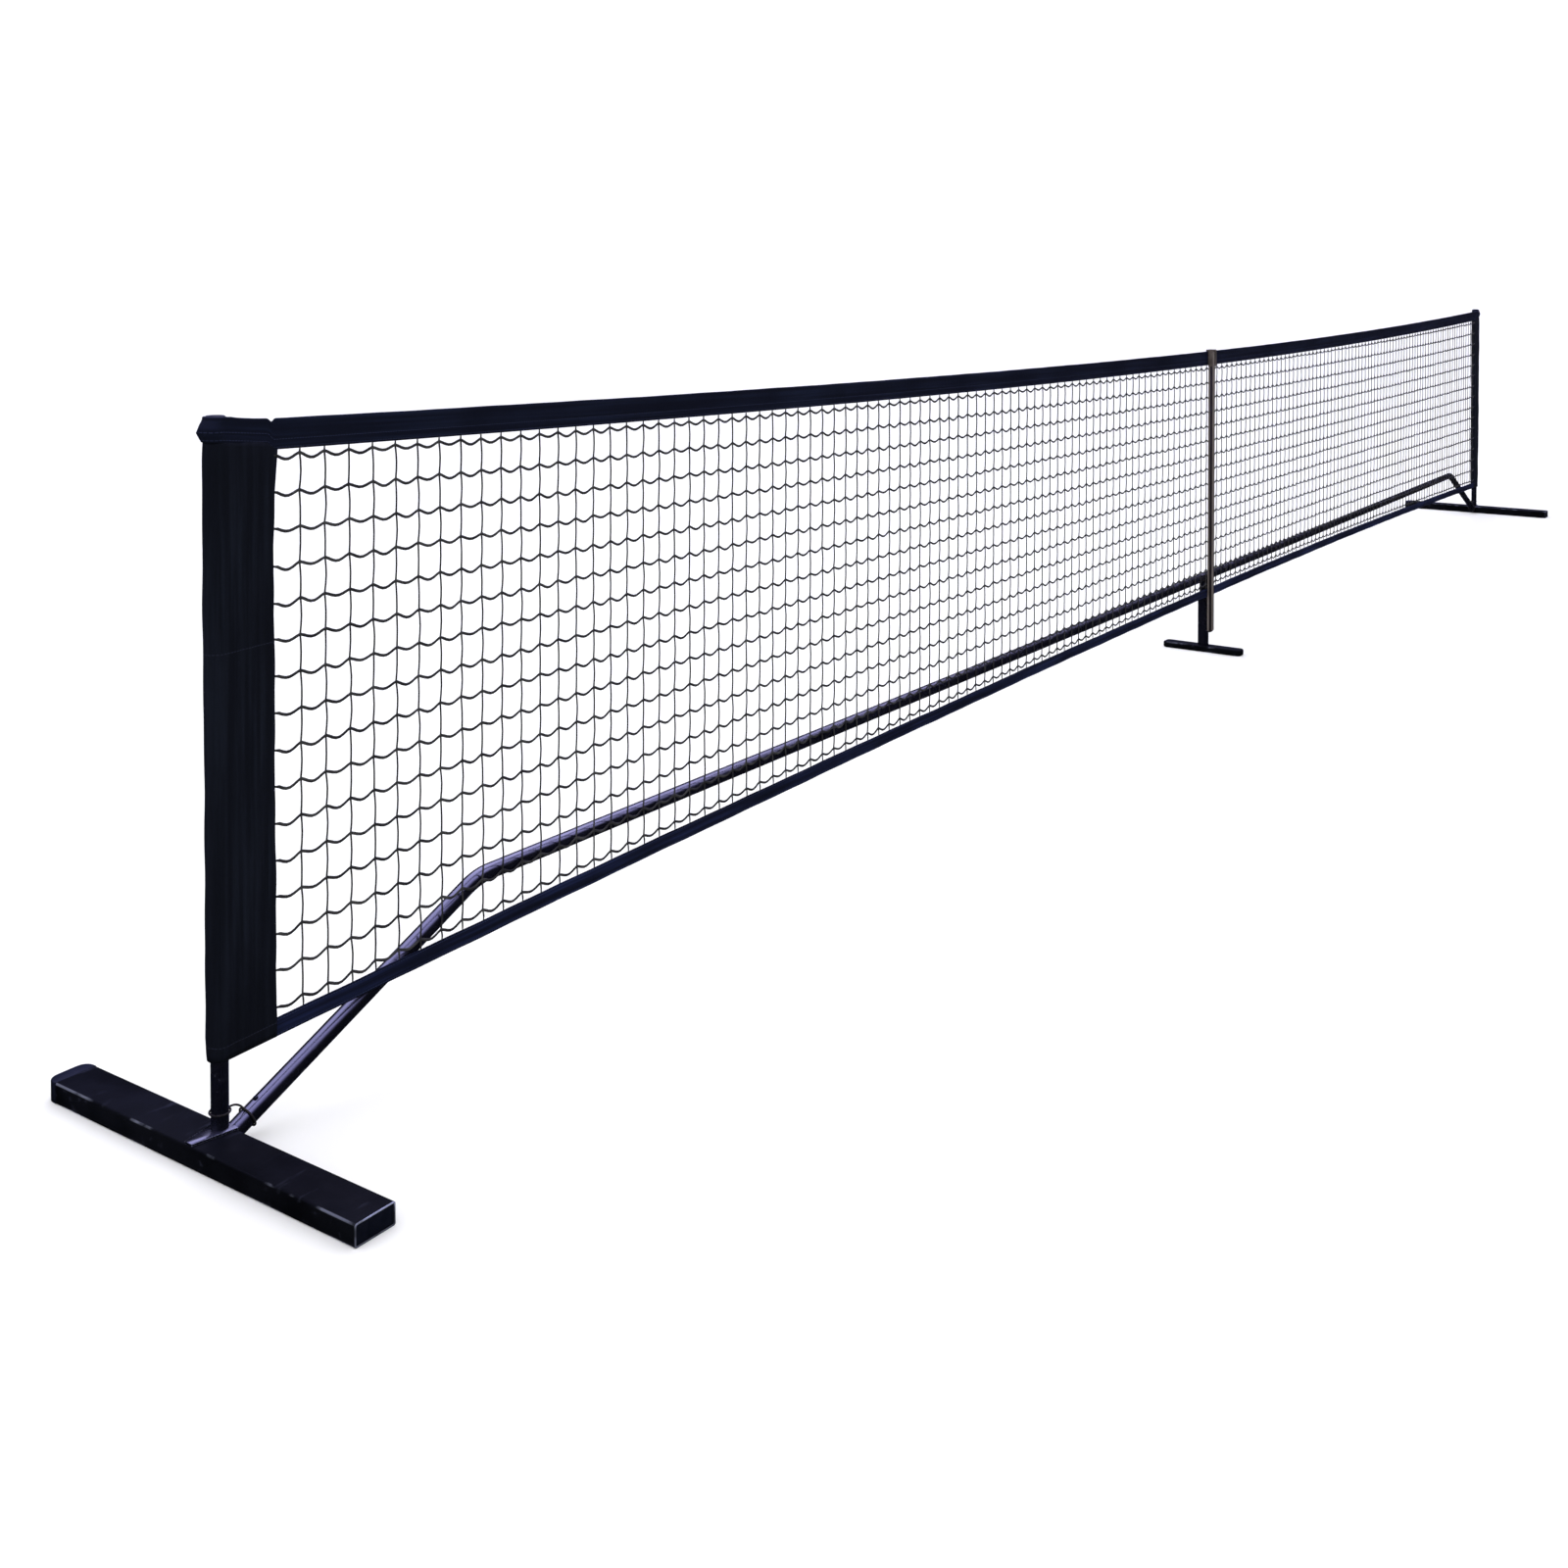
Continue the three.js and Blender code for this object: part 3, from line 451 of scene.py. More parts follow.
def stitch_rows(nodes, along, across, rows):
    """A mask of dashed stitches running along one UV axis, one row at each place on the other."""
    dash = nodes.math("PINGPONG", along, STITCH_LENGTH / 2)
    gaps = nodes.ramp(dash, *STITCH_GAP)
    total = 0.0
    for place in rows:
        away = nodes.math("ABSOLUTE", nodes.math("SUBTRACT", across, place))
        row = nodes.math("MULTIPLY", nodes.ramp(away, *STITCH_WIDTH, 1, 0), gaps)
        total = nodes.math("MAXIMUM", total, row)
    return total


def stitched_fabric(name, colour, light, pitch, thread, rows, streak=(0.5, 30, 1)):
    """Woven fabric with painted sheen in streaks and patches, mixed with uneven tone, painted shade between
    threads, and rows of stitches at given heights above its lower edge.
    """
    nodes = Nodes(name)
    u, v, _ = nodes.separate(nodes.uv)
    streaks = nodes.noise(scale=5, detail=5, stretch=streak, at=nodes.uv)
    fade = nodes.noise(scale=7, detail=4)
    weave = woven(nodes, pitch)
    # Painted sheen, mixed with uneven tone, laid on in streaks and patches
    shade = nodes.math("MULTIPLY", nodes.ramp(streaks, 0.38, 0.68), nodes.ramp(fade, 0.3, 0.65, 0.3, 1))
    base = nodes.mix(shade, colour, light)
    # Painted shade between the threads of the weave
    base = nodes.mix(nodes.ramp(weave, -1, 1, 0.25, 0), base, BETWEEN_THREADS)
    stitches = stitch_rows(nodes, u, v, rows)
    base = nodes.mix(stitches, base, thread)
    height = nodes.math("ADD", nodes.math("MULTIPLY", weave, 0.12), nodes.math("MULTIPLY", stitches, 1.0))
    puckers = nodes.noise(scale=120, detail=3, stretch=(1, 0.25, 1), at=nodes.uv)
    soft = nodes.bump(puckers, 0.35, 1.2 * MM)
    nodes.set(Base_Color=base, Roughness=nodes.ramp(fade, 0.3, 0.7, 0.7, 0.88), Specular_IOR_Level=0.05,
              Normal=nodes.bump(height, 0.6, 0.35 * MM, soft))
    return nodes.material


def twisted_cord(name, colour, light, turns, plies=3):
    """Twisted strands: diagonal grooves on the cord's UVs, with uneven tone and painted shade in the grooves
    between strands.
    """
    nodes = Nodes(name)
    u, v, _ = nodes.separate(nodes.uv)
    phase = nodes.math("ADD", nodes.math("MULTIPLY", u, turns), nodes.math("MULTIPLY", v, float(plies)))
    strand = nodes.math("ABSOLUTE", nodes.math("SINE", nodes.math("MULTIPLY", phase, math.pi)))
    dust = nodes.noise(scale=40, detail=4)
    base = nodes.mix(nodes.ramp(dust, 0.35, 0.7), colour, light)
    # Painted shade in the grooves between strands
    base = nodes.mix(nodes.ramp(strand, 0, 0.5, 0.6, 0), base, BETWEEN_STRANDS)
    nodes.set(Base_Color=base, Roughness=0.82, Specular_IOR_Level=0.1,
              Normal=nodes.bump(strand, 0.7, 0.4 * MM))
    return nodes.material


def floor_finish(name):
    """Plain pale matt floor with the faintest unevenness."""
    nodes = Nodes(name)
    cloud = nodes.noise(scale=1.5, detail=2)
    nodes.set(Base_Color=nodes.mix(cloud, *FLOOR_WHITE), Roughness=0.9)
    return nodes.material


powder_coat = coated_metal("powder_coat", NAVY_BLACK, NAVY_BLACK_LIGHT)
foot_coat = coated_metal("foot_coat", (0.0014, 0.0016, 0.0022, 1), (0.0036, 0.004, 0.0058, 1),
                         roughness=(0.4, 0.55), gloss=0.01, worn=bare_ends)
# The plate's bare edges are painted highlight
plate_coat = coated_metal("plate_coat", NAVY_BLACK, NAVY_BLACK_LIGHT, worn=bare_edges)
# The bar coat's own colours show only at its front corners, as painted shade
bar_coat = coated_metal("bar_coat", (0.01, 0.007, 0.006, 1), (0.016, 0.012, 0.011, 1),
                        roughness=(0.35, 0.5), gloss=0.3, tint=pale_flats)
black_plastic = moulded_plastic("black_plastic", (0.002, 0.003, 0.007, 1), (0.004, 0.005, 0.01, 1))
grey_plastic = moulded_plastic("grey_plastic", (0.06, 0.05, 0.046, 1), (0.09, 0.076, 0.07, 1))
spring_steel = brushed_metal("spring_steel", (0.5, 0.51, 0.54, 1))
# Each fabric's second colour is painted sheen, mixed with uneven tone
top_fabric = stitched_fabric("top_band_fabric", (0.0022, 0.0035, 0.009, 1), (0.005, 0.008, 0.02, 1),
                             pitch=1.1 * MM, thread=(0.012, 0.016, 0.035, 1), rows=(3 * MM, 13 * MM))
bottom_fabric = stitched_fabric("bottom_band_fabric", (0.0022, 0.0035, 0.01, 1), (0.008, 0.013, 0.045, 1),
                                pitch=1.1 * MM, thread=(0.016, 0.022, 0.055, 1),
                                rows=(3 * MM, BOTTOM_HEIGHT - 3 * MM))
sleeve_fabric = stitched_fabric("sleeve_fabric", (0.0024, 0.0034, 0.0058, 1), (0.0055, 0.0075, 0.0125, 1),
                                pitch=1.3 * MM, thread=(0.011, 0.013, 0.022, 1), rows=(HEM, SLEEVE_SEAM),
                                streak=(22, 0.7, 1))
row_cord = twisted_cord("row_cord", (0.013, 0.013, 0.013, 1), (0.036, 0.036, 0.035, 1), turns=230.0)
column_cord = twisted_cord("column_cord", (0.015, 0.015, 0.015, 1), (0.04, 0.04, 0.04, 1), turns=330.0)
elastic = twisted_cord("elastic_cord", (0.008, 0.007, 0.008, 1), (0.025, 0.022, 0.022, 1),
                       turns=420.0, plies=4)


# ---------------------------------------------------------------- netting

def sewn_in(depth):
    """How much of its radius a cord keeps at a depth inside the band or sleeve that holds its end."""
    return 1 - (1 - SEWN_IN_SHARE) * np.clip((depth + THINNING_STARTS) / TUCK, 0, 1)


def netting_half(name, first, last):
    """The cords between two columns: every row between them, and every column from first up to last."""
    random = np.random.default_rng(SEED)
    column_x = np.linspace(-NET_HALF, NET_HALF, CORD_COLUMNS + 2)
    share = np.linspace(0, 1, CORD_ROWS)[:, None]
    top_row = netting_upper(column_x) - FIRST_ROW_BELOW_BAND
    bottom_row = netting_lower(column_x) + LAST_ROW_ABOVE_BAND
    crossing = top_row * (1 - share) + bottom_row * share
    crossing = crossing + random.uniform(-KNOT_RISE, KNOT_RISE, crossing.shape)
    shift = random.uniform(-KNOT_SHIFT, KNOT_SHIFT, crossing.shape)
    shift[:, [0, -1]] = 0
    sway = random.uniform(-CORD_SWAY, CORD_SWAY, crossing.shape)
    sag = ROW_SAG * random.uniform(*SAG_SPREAD, crossing.shape)
    bow = COLUMN_BOW * random.uniform(*BOW_SPREAD, crossing.shape)

    t = np.arange(ROW_STEPS) / ROW_STEPS
    cells = np.arange(first, last)
    left_x, right_x = (column_x + shift)[:, cells], (column_x + shift)[:, cells + 1]
    left_z, right_z = crossing[:, cells], crossing[:, cells + 1]
    x = left_x[..., None] * (1 - t) + right_x[..., None] * t
    hang = 2 * t * (1 - t) + 0.5 * np.sin(math.pi * t) ** 2
    z = left_z[..., None] * (1 - t) + right_z[..., None] * t - sag[:, cells, None] * hang
    y = NET_Y + sway[:, cells, None] * (1 - 2 * t)
    rows = np.stack([x, y, z], -1).reshape(CORD_ROWS, -1, 3)
    end = np.stack([right_x[:, -1], np.full(CORD_ROWS, NET_Y), right_z[:, -1]], -1)[:, None]
    rows = np.concatenate([rows, end], 1)
    if first == 0:
        rows[:, 0, 0] -= TUCK
    if last == CORD_COLUMNS + 1:
        rows[:, -1, 0] += TUCK
    row_radii = ROW_CORD_RADIUS * sewn_in(np.abs(rows[..., 0]) - NET_HALF)

    columns = np.arange(max(first, 1), min(last, CORD_COLUMNS + 1))
    above = netting_upper(column_x) + TUCK
    below = netting_lower(column_x) - TUCK
    stops = np.concatenate([above[None], crossing, below[None]])[:, columns]
    centre = np.concatenate([shift[:1], shift, shift[-1:]])[:, columns] + column_x[columns]
    bend = np.concatenate([bow[:1] * TOP_BOW_SHARE, bow])[:, columns]
    t = np.arange(COLUMN_STEPS) / COLUMN_STEPS
    z = stops[:-1, :, None] * (1 - t) + stops[1:, :, None] * t
    x = centre[:-1, :, None] * (1 - t) + centre[1:, :, None] * t + bend[..., None] * np.sin(math.pi * t)
    paths = np.stack([x, np.full_like(x, NET_Y), z], -1)
    paths = paths.transpose(1, 0, 2, 3).reshape(len(columns), -1, 3)
    end = np.stack([centre[-1], np.full(len(columns), NET_Y), stops[-1]], -1)[:, None]
    paths = np.concatenate([paths, end], 1)
    radii = np.full(paths.shape[1], COLUMN_CORD_RADIUS)
    radii[COLUMN_STEPS:-1:COLUMN_STEPS] = CROSSING_RADIUS
    across, height = paths[..., 0], paths[..., 2]
    radii = radii * sewn_in(np.maximum(height - netting_upper(across), netting_lower(across) - height))

    front = (0, -1, 0)
    vertices, faces, uvs, origin = merged([
        cords(rows, row_radii, front, flatness=ROW_CORD_FLATNESS),
        cords(paths, radii, front),
    ])
    piece = make_piece(name, vertices, faces, uvs, [row_cord, column_cord], origin)
    stand_in(piece, "netting", "net")


half_way = (CORD_COLUMNS + 1) // 2
netting_half("left_half_netting", 0, half_way)
netting_half("right_half_netting", half_way, CORD_COLUMNS + 1)


# ---------------------------------------------------------------- bands and sleeves

def pocket_plan():
    """Plan of the left pole pocket, from the sewn edge of its return round the post to its front."""
    radius = BAND_HALF - POCKET_FABRIC / 2 - NET_Y
    sewn = Vector((POCKET_REACH, NET_Y + BAND_HALF + POCKET_FABRIC / 2))
    start = math.atan2(sewn.y, sewn.x) + math.acos(radius / sewn.length)
    angles = np.linspace(start, 1.5 * math.pi, POCKET_ARC_POINTS)
    arc = np.stack([np.cos(angles), np.sin(angles)], 1) * radius
    lead = np.linspace(sewn, arc[0], int(POCKET_REACH / POCKET_STEP), endpoint=False)
    return np.concatenate([lead, arc]) + [-POST_X, 0]


def band_lower(x):
    """The top band's lower edge. Its ends are folded narrower, and most so round the posts."""
    from_post = POST_X - np.abs(x)
    folded = np.clip((TAIL_LENGTH - from_post) / BAND_END_STEP, 0, 1)
    taper = np.clip(1 - from_post / TAIL_LENGTH, 0, 1)
    return netting_upper(x) + folded * (BAND_END_TUCK + BAND_END_TAPER * taper)


def top_band():
    """One tape with a rounded fold along its top, running from pocket to pocket over both posts."""
    pocket = pocket_plan()
    near = np.arange(-POST_X + BAND_STEP / 8, -NET_HALF + BAND_STEP, BAND_STEP / 8)
    run = np.concatenate([near, np.arange(near[-1] + BAND_STEP, 0, BAND_STEP)])
    left = np.concatenate([pocket, np.stack([run, np.full_like(run, NET_Y)], 1)])
    plan = np.concatenate([left, [[0, NET_Y]], (left * [-1, 1])[::-1]])
    x = plan[:, 0]
    # Front face from the top fold down: depth and half-thickness, with a groove at each line of stitches
    profile = np.array([
        (0, 0), (0.5, 0.7), (2, 1.25), (4.5, 1.35), (7, 1.1), (16, 1.0), (28, 1.1), (29.3, 1.05),
        (30, 0.7), (30.7, 1.05), (32, 1.15), (38, 1.05), (40, 1.1), (40.5, 0.75), (41, 1.1),
        (43.4, 1.0), (44, 0.5),
    ]) * MM
    front, back = profile, profile[:0:-1] * [1, -1]
    loop = np.concatenate([front, back])
    share = loop[:, 0] / profile[-1, 0]
    tall = band_upper(x) - band_lower(x)
    from_post = POST_X - np.abs(x)
    lift = BAND_LIFT * np.exp(-np.maximum(from_post - BAND_LIFT_FLAT, 0) / BAND_LIFT_FADE)
    from_notch = from_post - TAIL_LENGTH + BAND_NOTCH_OFFSET
    notch = BAND_NOTCH * np.exp(-((from_notch / BAND_NOTCH_WIDTH) ** 2))
    ripple = BAND_RIPPLE * (1 - waves(x, 0, (1.7, 0, 0.3), (4.1, 0, 1.1), (9.7, 0, 2.0)))
    lowered = (notch - lift + ripple * 0.5)[:, None]
    drops = share * tall[:, None] + lowered * (1 - share)
    sway = BAND_SWAY * waves(x[:, None], loop[:, 0], (2.3, 9, 0.4), (6.1, -14, 1.9))
    corner = BAND_CORNER * np.clip((BAND_CORNER_START - from_post) / BAND_CORNER_RUN, 0, 1)[:, None]
    point = np.clip(1 - np.abs(share - BAND_CORNER_HEIGHT) / 0.5, 0, 1)
    offsets = loop[:, 1] + np.minimum(sway, BAND_SWAY_LIMIT) + corner * point
    vertices, faces, uvs = loft(plan, band_upper(x), drops, offsets)
    piece = make_piece("top_band_tape", vertices, faces, uvs, [top_fabric])
    stand_in(piece, "top_band", "net")


def bottom_band():
    """A folded tape along the foot of the netting, its thinned ends inside the sleeves."""
    run = np.linspace(-NET_HALF, NET_HALF, int(2 * NET_HALF / BAND_STEP))
    x = np.concatenate([[-NET_HALF - SLEEVE_TUCK], run, [NET_HALF + SLEEVE_TUCK]])
    plan = np.stack([x, np.full_like(x, NET_Y)], 1)
    # Depth and half-thickness, with a groove at each line of stitches
    profile = np.array([
        (0, 0.4), (0.6, 1.0), (2.4, 1.1), (3, 0.75), (3.6, 1.1), (12, 1.0), (20.4, 1.1), (21, 0.75),
        (21.6, 1.1), (23.4, 1.1), (24, 0.5),
    ]) * MM
    loop = np.concatenate([profile, profile[::-1] * [1, -1]])
    scale = BOTTOM_HEIGHT / profile[-1, 0]
    ripple = BAND_RIPPLE * waves(x, 0, (1.3, 0, 0.9), (3.7, 0, 0.2), (8.3, 0, 2.6))
    drops = loop[:, 0] * scale + ripple[:, None]
    offsets = loop[:, 1] * sewn_in(np.abs(x) - NET_HALF - TAPE_END_FULL)[:, None]
    vertices, faces, uvs = loft(plan, bottom_upper(x), drops, offsets)
    piece = make_piece("bottom_band_tape", vertices, faces, uvs, [bottom_fabric])
    stand_in(piece, "bottom_band", "net")


def sleeve(side):
    """The pole pocket below the top band: soft upright folds, a hem and a flat tail on the netting."""
    pocket = pocket_plan()
    tail = np.arange(SLEEVE_TAIL_STEP - POST_X, TAIL_LENGTH - POST_X, SLEEVE_TAIL_STEP)
    plan = np.concatenate([pocket, np.stack([tail, np.full_like(tail, NET_Y)], 1)])
    x = plan[:, 0]
    upper = band_lower(x) + SLEEVE_TUCK
    tall = upper - bottom_lower(x)
    rows = np.linspace(0, 1, int(tall[0] / SLEEVE_STEP))
    share = np.concatenate([rows, rows[::-1]])
    face = np.concatenate([np.ones_like(rows), -np.ones_like(rows)])
    drops = share * tall[:, None]
    above_hem = (1 - share) * tall[:, None]
    thickness = 1.0 - SLEEVE_THINNING * np.clip((above_hem - HEM) / HEM, 0, 1)
    groove = 1 - HEM_GROOVE_DEPTH * np.exp(-(((above_hem - HEM) / HEM_GROOVE) ** 2))
    along = np.arange(len(plan))[:, None] / len(plan)
    folds = waves(along, drops, (5, 0.6, 0.2 + side), (9, -1.1, 1.3), (3, 2.2, 2.1 * side))
    creases = waves(along, drops, (2, 7.0, 0.5), (4, -11.0, 1.7 + side))
    from_hem, from_top = (
        np.sin(math.pi * np.clip(part * FOLD_FADE, 0, 0.5)) for part in (1 - share, share)
    )
    bulge = SLEEVE_FOLD * (1 + folds + 0.4 * creases) / 2 * from_hem * from_top
    tail_part = np.clip((plan[:, :1] + POST_X - POCKET_REACH) / (TAIL_LENGTH - POCKET_REACH), 0, 1)
    thinned = TUCKED_THICKNESS + (1 - TUCKED_THICKNESS) * np.clip(drops / (2 * SLEEVE_TUCK), 0, 1)
    offsets = face * thickness * groove * thinned * MM + bulge * (1 - TAIL_FLATTENING * tail_part)
    vertices, faces, uvs = loft(plan, upper, drops, offsets)
    flare = SLEEVE_FLARE * np.exp(-drops / SLEEVE_FLARE_FADE)
    wander = SLEEVE_WANDER * waves(drops, 0, (4, 0, 0.3), (11, 0, 1.4))
    vertices[:, 0] += ((flare + wander) * tail_part).ravel()
    vertices[:, 2] = np.minimum(vertices[:, 2], band_lower(vertices[:, 0]) + SLEEVE_TUCK)
    uvs[:, 0] = uvs[:, 0].max() - uvs[:, 0]
    if side > 0:
        vertices = vertices * [-1, 1, 1]
        faces = [face[::-1] for face in faces]
        counts = [len(face) for face in faces]
        uvs = np.concatenate([part[::-1] for part in np.split(uvs, np.cumsum(counts)[:-1])])
    word = "left" if side < 0 else "right"
    piece = make_piece(f"{word}_pole_sleeve", vertices, faces, uvs, [sleeve_fabric])
    stand_in(piece, f"{word}_sleeve", "net")


top_band()
bottom_band()
sleeve(-1)
sleeve(1)


# ---------------------------------------------------------------- tethers

def brace_slope(word):
    """The slope of the socket, from the way its snap button moves."""
    press = next(joint for joint in frame["joints"] if joint["name"] == f"{word}_brace_press")
    return math.atan2(abs(press["axis"][0]), abs(press["axis"][2]))


def tether(side):
    """An elastic cord looped round the upright and round the sloping socket, bowed up between them."""
    word = "left" if side < 0 else "right"
    low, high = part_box(f"{word}_tether")
    socket_low, socket_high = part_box(f"{word}_brace_socket")
    tube_radius = (socket_high.y - socket_low.y) / 2
    outer = (low if side < 0 else high).x
    inner = (high if side < 0 else low).x
    inward = -side
    post_loop = POST_RADIUS + TETHER_RADIUS + TETHER_CLEARANCE
    socket_loop = tube_radius + TETHER_RADIUS + TETHER_CLEARANCE
    post_x = outer + inward * (post_loop + TETHER_RADIUS)
    slope = brace_slope(word)
    lean = Vector((-inward * math.sin(slope), 0, math.cos(slope)))
    socket_centre = Vector((inner - inward * (socket_loop * math.sin(slope) + TETHER_RADIUS), 0, 0))
    socket_centre.z = low.z + socket_loop * math.cos(slope) + TETHER_RADIUS
    ring = np.linspace(0, TETHER_TURN, TETHER_POINTS)[:, None]
    height = high.z - TETHER_RADIUS - TETHER_TOP_MARGIN
    round_post = np.array([post_x, 0, height]) + post_loop * (
        np.cos(ring) * [inward, 0, 0] + np.sin(ring) * [0, 1, 0])
    round_socket = np.array(socket_centre) + socket_loop * (
        np.cos(ring) * np.array(lean) + np.sin(ring) * [0, 1, 0])
    start = Vector((post_x + inward * post_loop, 0, height))
    end = socket_centre + lean * socket_loop
    crest = Vector((start.x + (end.x - start.x) * TETHER_CREST_AT, 0, height + TETHER_CREST))
    t = np.linspace(0, 1, TETHER_POINTS)[:, None]
    bridge = np.array(start) * (1 - t) ** 2 + 2 * np.array(crest) * t * (1 - t) + np.array(end) * t ** 2
    along_socket = np.array([inward * math.cos(slope), 0, math.sin(slope)])
    paths = ((round_post, (0, 0, 1)), (bridge, (0, 1, 0)), (round_socket, along_socket))
    vertices, faces, uvs, _ = merged([
        cords([path], TETHER_RADIUS, reference, sides=TETHER_SIDES) for path, reference in paths
    ])
    piece = make_piece(f"{word}_tether_cord", vertices, faces, uvs, [elastic])
    stand_in(piece, f"{word}_tether", "frame")


tether(-1)
tether(1)


# ---------------------------------------------------------------- springs behind the snap buttons

def leaf_spring(press):
    """The folded spring of one snap button, as a spring-steel copy of its CAD node."""
    node = press["name"].replace("_press", "_spring")
    points = node_vertices(node)
    depths = points @ np.array(press["axis"], float)
    mesh = frame["nodes"][node].data.copy()
    mesh.materials.clear()
    mesh.materials.append(spring_steel)
    piece = bpy.data.objects.new(node + "_leaf", mesh)
    bpy.context.collection.objects.link(piece)
    stand_in(piece, node, "frame")
    points[depths.argmax()].tolist()
    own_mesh(piece)


for joint in frame["joints"]:
    if joint["name"].endswith("_press"):
        leaf_spring(joint)


# ---------------------------------------------------------------- carried CAD nodes

FINISHES = {
    "powder_coat": powder_coat,
    "bar_coat": bar_coat,
    "black_plastic": black_plastic,
    "grey_plastic": grey_plastic,
}
OWN_FINISH = {"foot_tube": foot_coat, "centre_foot": foot_coat, "base_plate": plate_coat}
FLAT_SIDED = (
    "foot_tube", "foot_cap", "base_plate", "centre_foot", "bar_bracket", "centre_bar", "bar_hook",
)
ROUNDING = 0.45 * MM
WELD_DISTANCE = 0.002 * MM
SMOOTH_BELOW = math.radians(50)


def dress_node(node, slot_name):
    """Gives a carried CAD node its finish, softened edges and smooth round faces."""
    piece = frame["nodes"][node]
    mesh = piece.data
    mesh.materials.clear()
    own = [finish for part, finish in OWN_FINISH.items() if part in node]
    mesh.materials.append(own[0] if own else FINISHES[slot_name])
    mesh.polygons.foreach_set("use_smooth", [True] * len(mesh.polygons))
    if "custom_normal" in mesh.attributes:
        mesh.attributes.remove(mesh.attributes["custom_normal"])
    weld = piece.modifiers.new("weld", "WELD")
    weld.merge_threshold = WELD_DISTANCE
    if any(word in node for word in FLAT_SIDED):
        bevel = piece.modifiers.new("soft_edges", "BEVEL")
        bevel.width = ROUNDING
        bevel.segments = 2
        bevel.limit_method = "ANGLE"
        bevel.angle_limit = SMOOTH_BELOW
    split = piece.modifiers.new("sharp_edges", "EDGE_SPLIT")
    split.split_angle = SMOOTH_BELOW


for subpart in frame["record"]["subparts"]:
    if subpart["material_slot"] in FINISHES:
        dress_node(subpart["node"], subpart["material_slot"])


# ---------------------------------------------------------------- floor, light and camera

FLOOR_HALF = 60.0
CAMERA_AT = Vector((-4.66, -1.753, 1.094))
CAMERA_YAW = math.radians(55.4)
CAMERA_PITCH = math.radians(-1.18)
FOCAL_SHARE = 1.078
HORIZON_SHIFT = -0.306
SENSOR = 36.0
LENS_SHIFT_RANGE = 0.01
WHITE_LIGHT = 1.15
STUDIO_DARK = 0.02
STRIP_LIGHT = 9.5
STRIP_COLOUR = (0.6, 0.58, 1, 1)
STRIP_RISE = (0.37, 0.75)
STRIP_SIDES = (0.45, 0.95)
LAMP_SIZE = (9, 5)
LAMP_POWER = 120
LAMP_COLOUR = (0.93, 0.94, 1)
LAMP_AT = (-1.5, 1.5, 5)
LAMP_TARGET = (-0.5, 0, 0.3)


def add_floor():
    """A wide pale floor just under the feet."""
    corners = [(x * FLOOR_HALF, y * FLOOR_HALF, 0) for x, y in ((-1, -1), (1, -1), (1, 1), (-1, 1))]
    uvs = [(0, 0), (1, 0), (1, 1), (0, 1)]
    floor = make_piece("floor", corners, [[0, 1, 2, 3]], uvs, [floor_finish("floor")])
    floor.visible_glossy = False


def add_lamp():
    """A wide soft light overhead."""
    light = bpy.data.lights.new("overhead", "AREA")
    light.shape = "RECTANGLE"
    light.size, light.size_y = LAMP_SIZE
    light.energy = LAMP_POWER
    light.color = LAMP_COLOUR
    lamp = bpy.data.objects.new("overhead", light)
    lamp.location = LAMP_AT
    lamp.rotation_euler = (Vector(LAMP_TARGET) - Vector(LAMP_AT)).to_track_quat("-Z", "Y").to_euler()
    bpy.context.collection.objects.link(lamp)


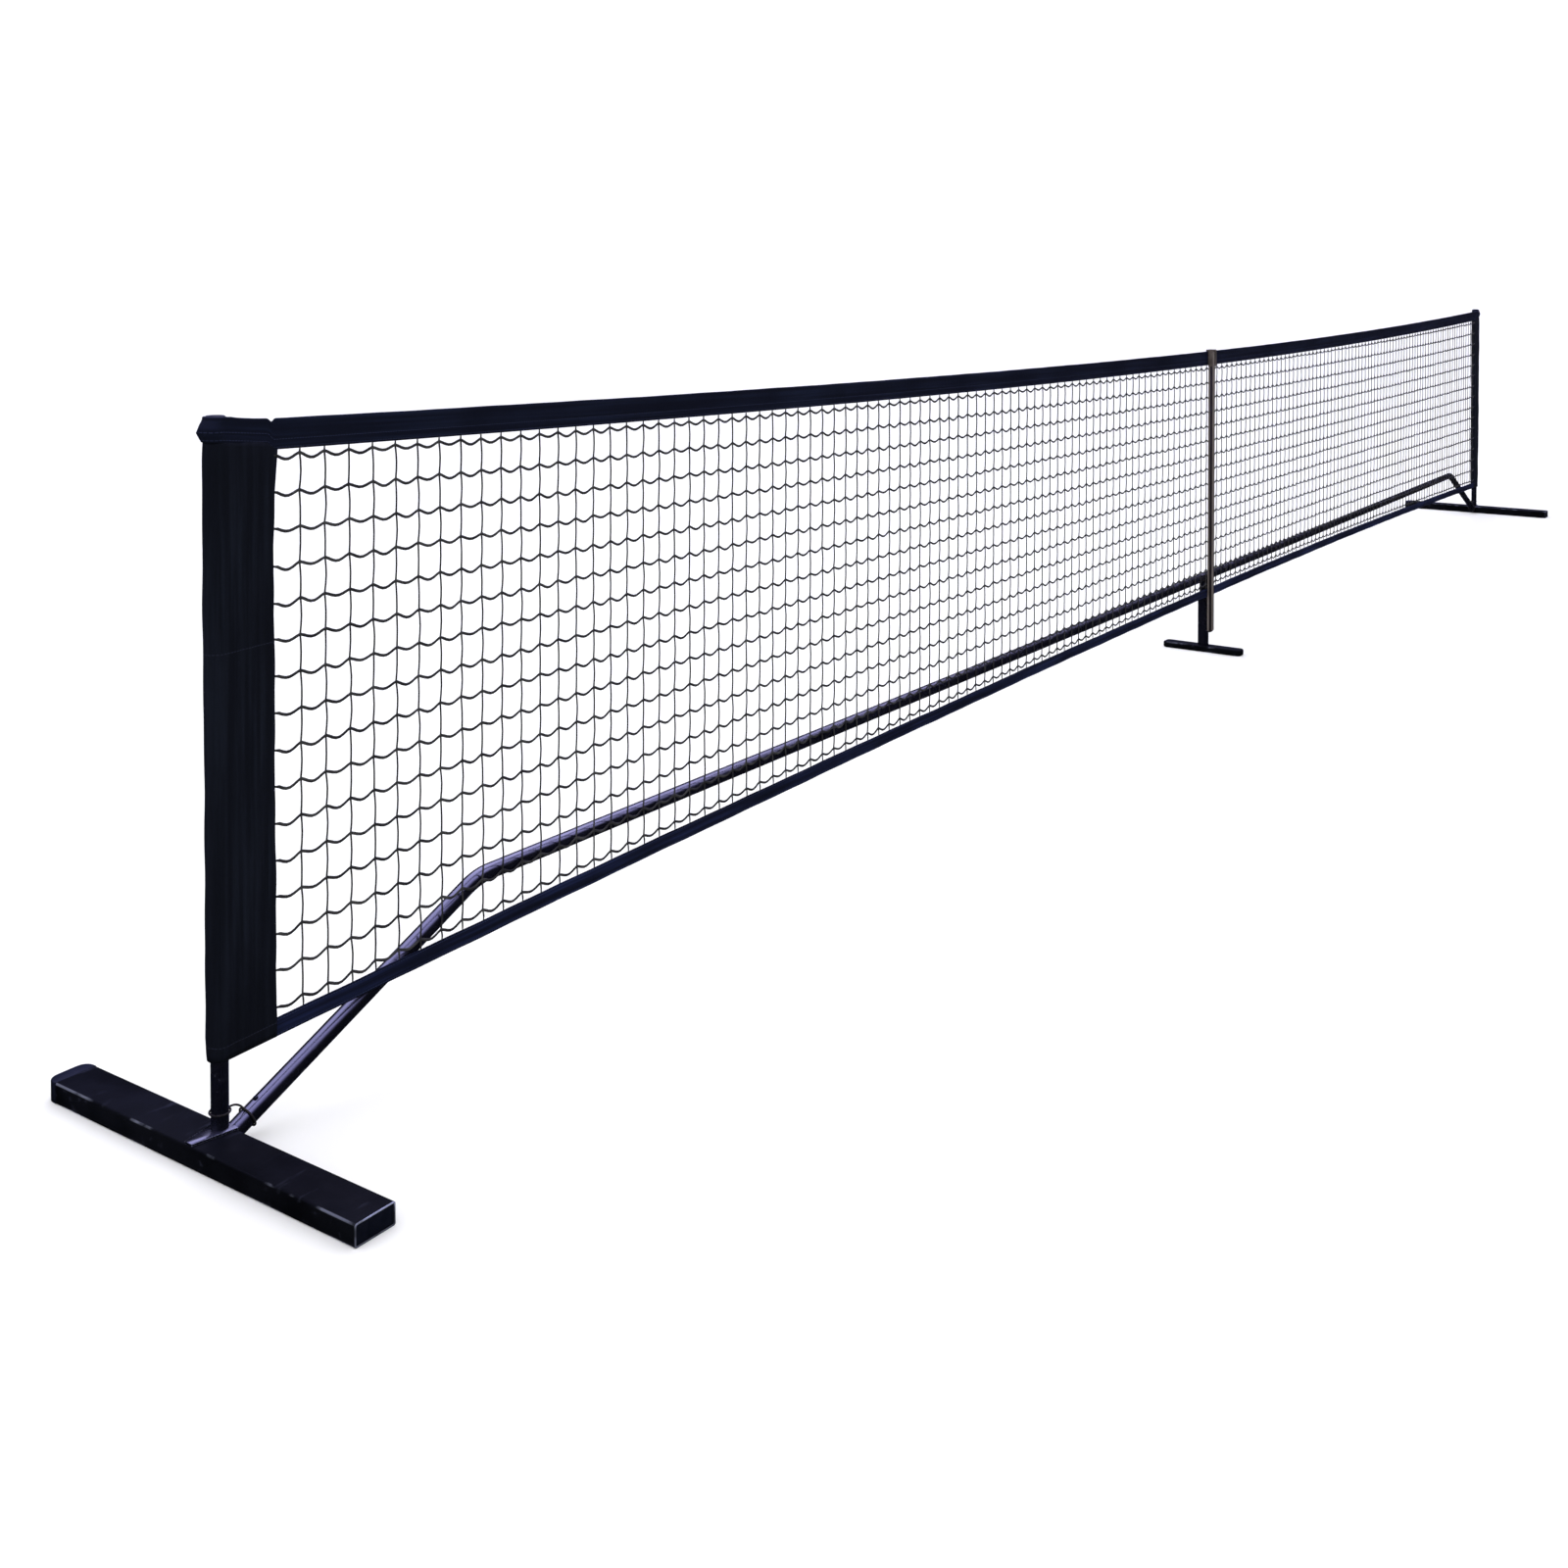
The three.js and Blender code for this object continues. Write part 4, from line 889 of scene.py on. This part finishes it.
def add_sky():
    """Even white light from all round. Reflections see a dark studio with a lavender strip overhead."""
    world = bpy.data.worlds.new("soft_white")
    world.use_nodes = True
    tree = world.node_tree
    white = tree.nodes["Background"]
    white.inputs["Color"].default_value = (1, 1, 1, 1)
    white.inputs["Strength"].default_value = WHITE_LIGHT
    studio = tree.nodes.new("ShaderNodeBackground")
    studio.inputs["Color"].default_value = STRIP_COLOUR
    way = tree.nodes.new("ShaderNodeTexCoord")
    parts = tree.nodes.new("ShaderNodeSeparateXYZ")
    tree.links.new(way.outputs["Generated"], parts.inputs[0])
    sideways = tree.nodes.new("ShaderNodeMath")
    sideways.operation = "ABSOLUTE"
    tree.links.new(parts.outputs["Y"], sideways.inputs[0])
    ramps = []
    for source, reach, strength in (
        (parts.outputs["Z"], STRIP_RISE, (STUDIO_DARK, STRIP_LIGHT)),
        (sideways.outputs[0], STRIP_SIDES, (1, 0)),
    ):
        ramp = tree.nodes.new("ShaderNodeMapRange")
        ramp.interpolation_type = "SMOOTHSTEP"
        for key, value in zip(("From Min", "From Max", "To Min", "To Max"), reach + strength):
            ramp.inputs[key].default_value = value
        tree.links.new(source, ramp.inputs["Value"])
        ramps.append(ramp.outputs[0])
    strip = tree.nodes.new("ShaderNodeMath")
    strip.operation = "MULTIPLY"
    for ramp, socket in zip(ramps, strip.inputs):
        tree.links.new(ramp, socket)
    tree.links.new(strip.outputs[0], studio.inputs["Strength"])
    path = tree.nodes.new("ShaderNodeLightPath")
    choice = tree.nodes.new("ShaderNodeMixShader")
    tree.links.new(path.outputs["Is Glossy Ray"], choice.inputs["Fac"])
    tree.links.new(white.outputs[0], choice.inputs[1])
    tree.links.new(studio.outputs[0], choice.inputs[2])
    tree.links.new(choice.outputs[0], tree.nodes["World Output"].inputs["Surface"])
    bpy.context.scene.world = world


def add_camera():
    """The standpoint beside the left post. The lens is shifted to keep uprights upright, there only."""
    data = bpy.data.cameras.new("camera")
    data.sensor_width = SENSOR
    data.lens = SENSOR * FOCAL_SHARE
    data.clip_end = 500
    camera = bpy.data.objects.new("camera", data)
    camera.location = CAMERA_AT
    camera.rotation_euler = (math.pi / 2 + CAMERA_PITCH, 0, -CAMERA_YAW)
    bpy.context.collection.objects.link(camera)
    bpy.context.scene.camera = camera
    driver = data.driver_add("shift_y").driver
    driver.type = "SCRIPTED"
    for name, channel in (("x", "LOC_X"), ("y", "LOC_Y")):
        variable = driver.variables.new()
        variable.name = name
        variable.type = "TRANSFORMS"
        variable.targets[0].id = camera
        variable.targets[0].transform_type = channel
        variable.targets[0].transform_space = "WORLD_SPACE"
    near = f"abs(x - {CAMERA_AT.x:.4f}) + abs(y - {CAMERA_AT.y:.4f}) < {LENS_SHIFT_RANGE}"
    driver.expression = f"{HORIZON_SHIFT} if {near} else 0"


add_floor()
add_sky()
add_lamp()
add_camera()
bpy.context.scene.view_settings.view_transform = "Standard"
bpy.context.scene.view_settings.look = "None"
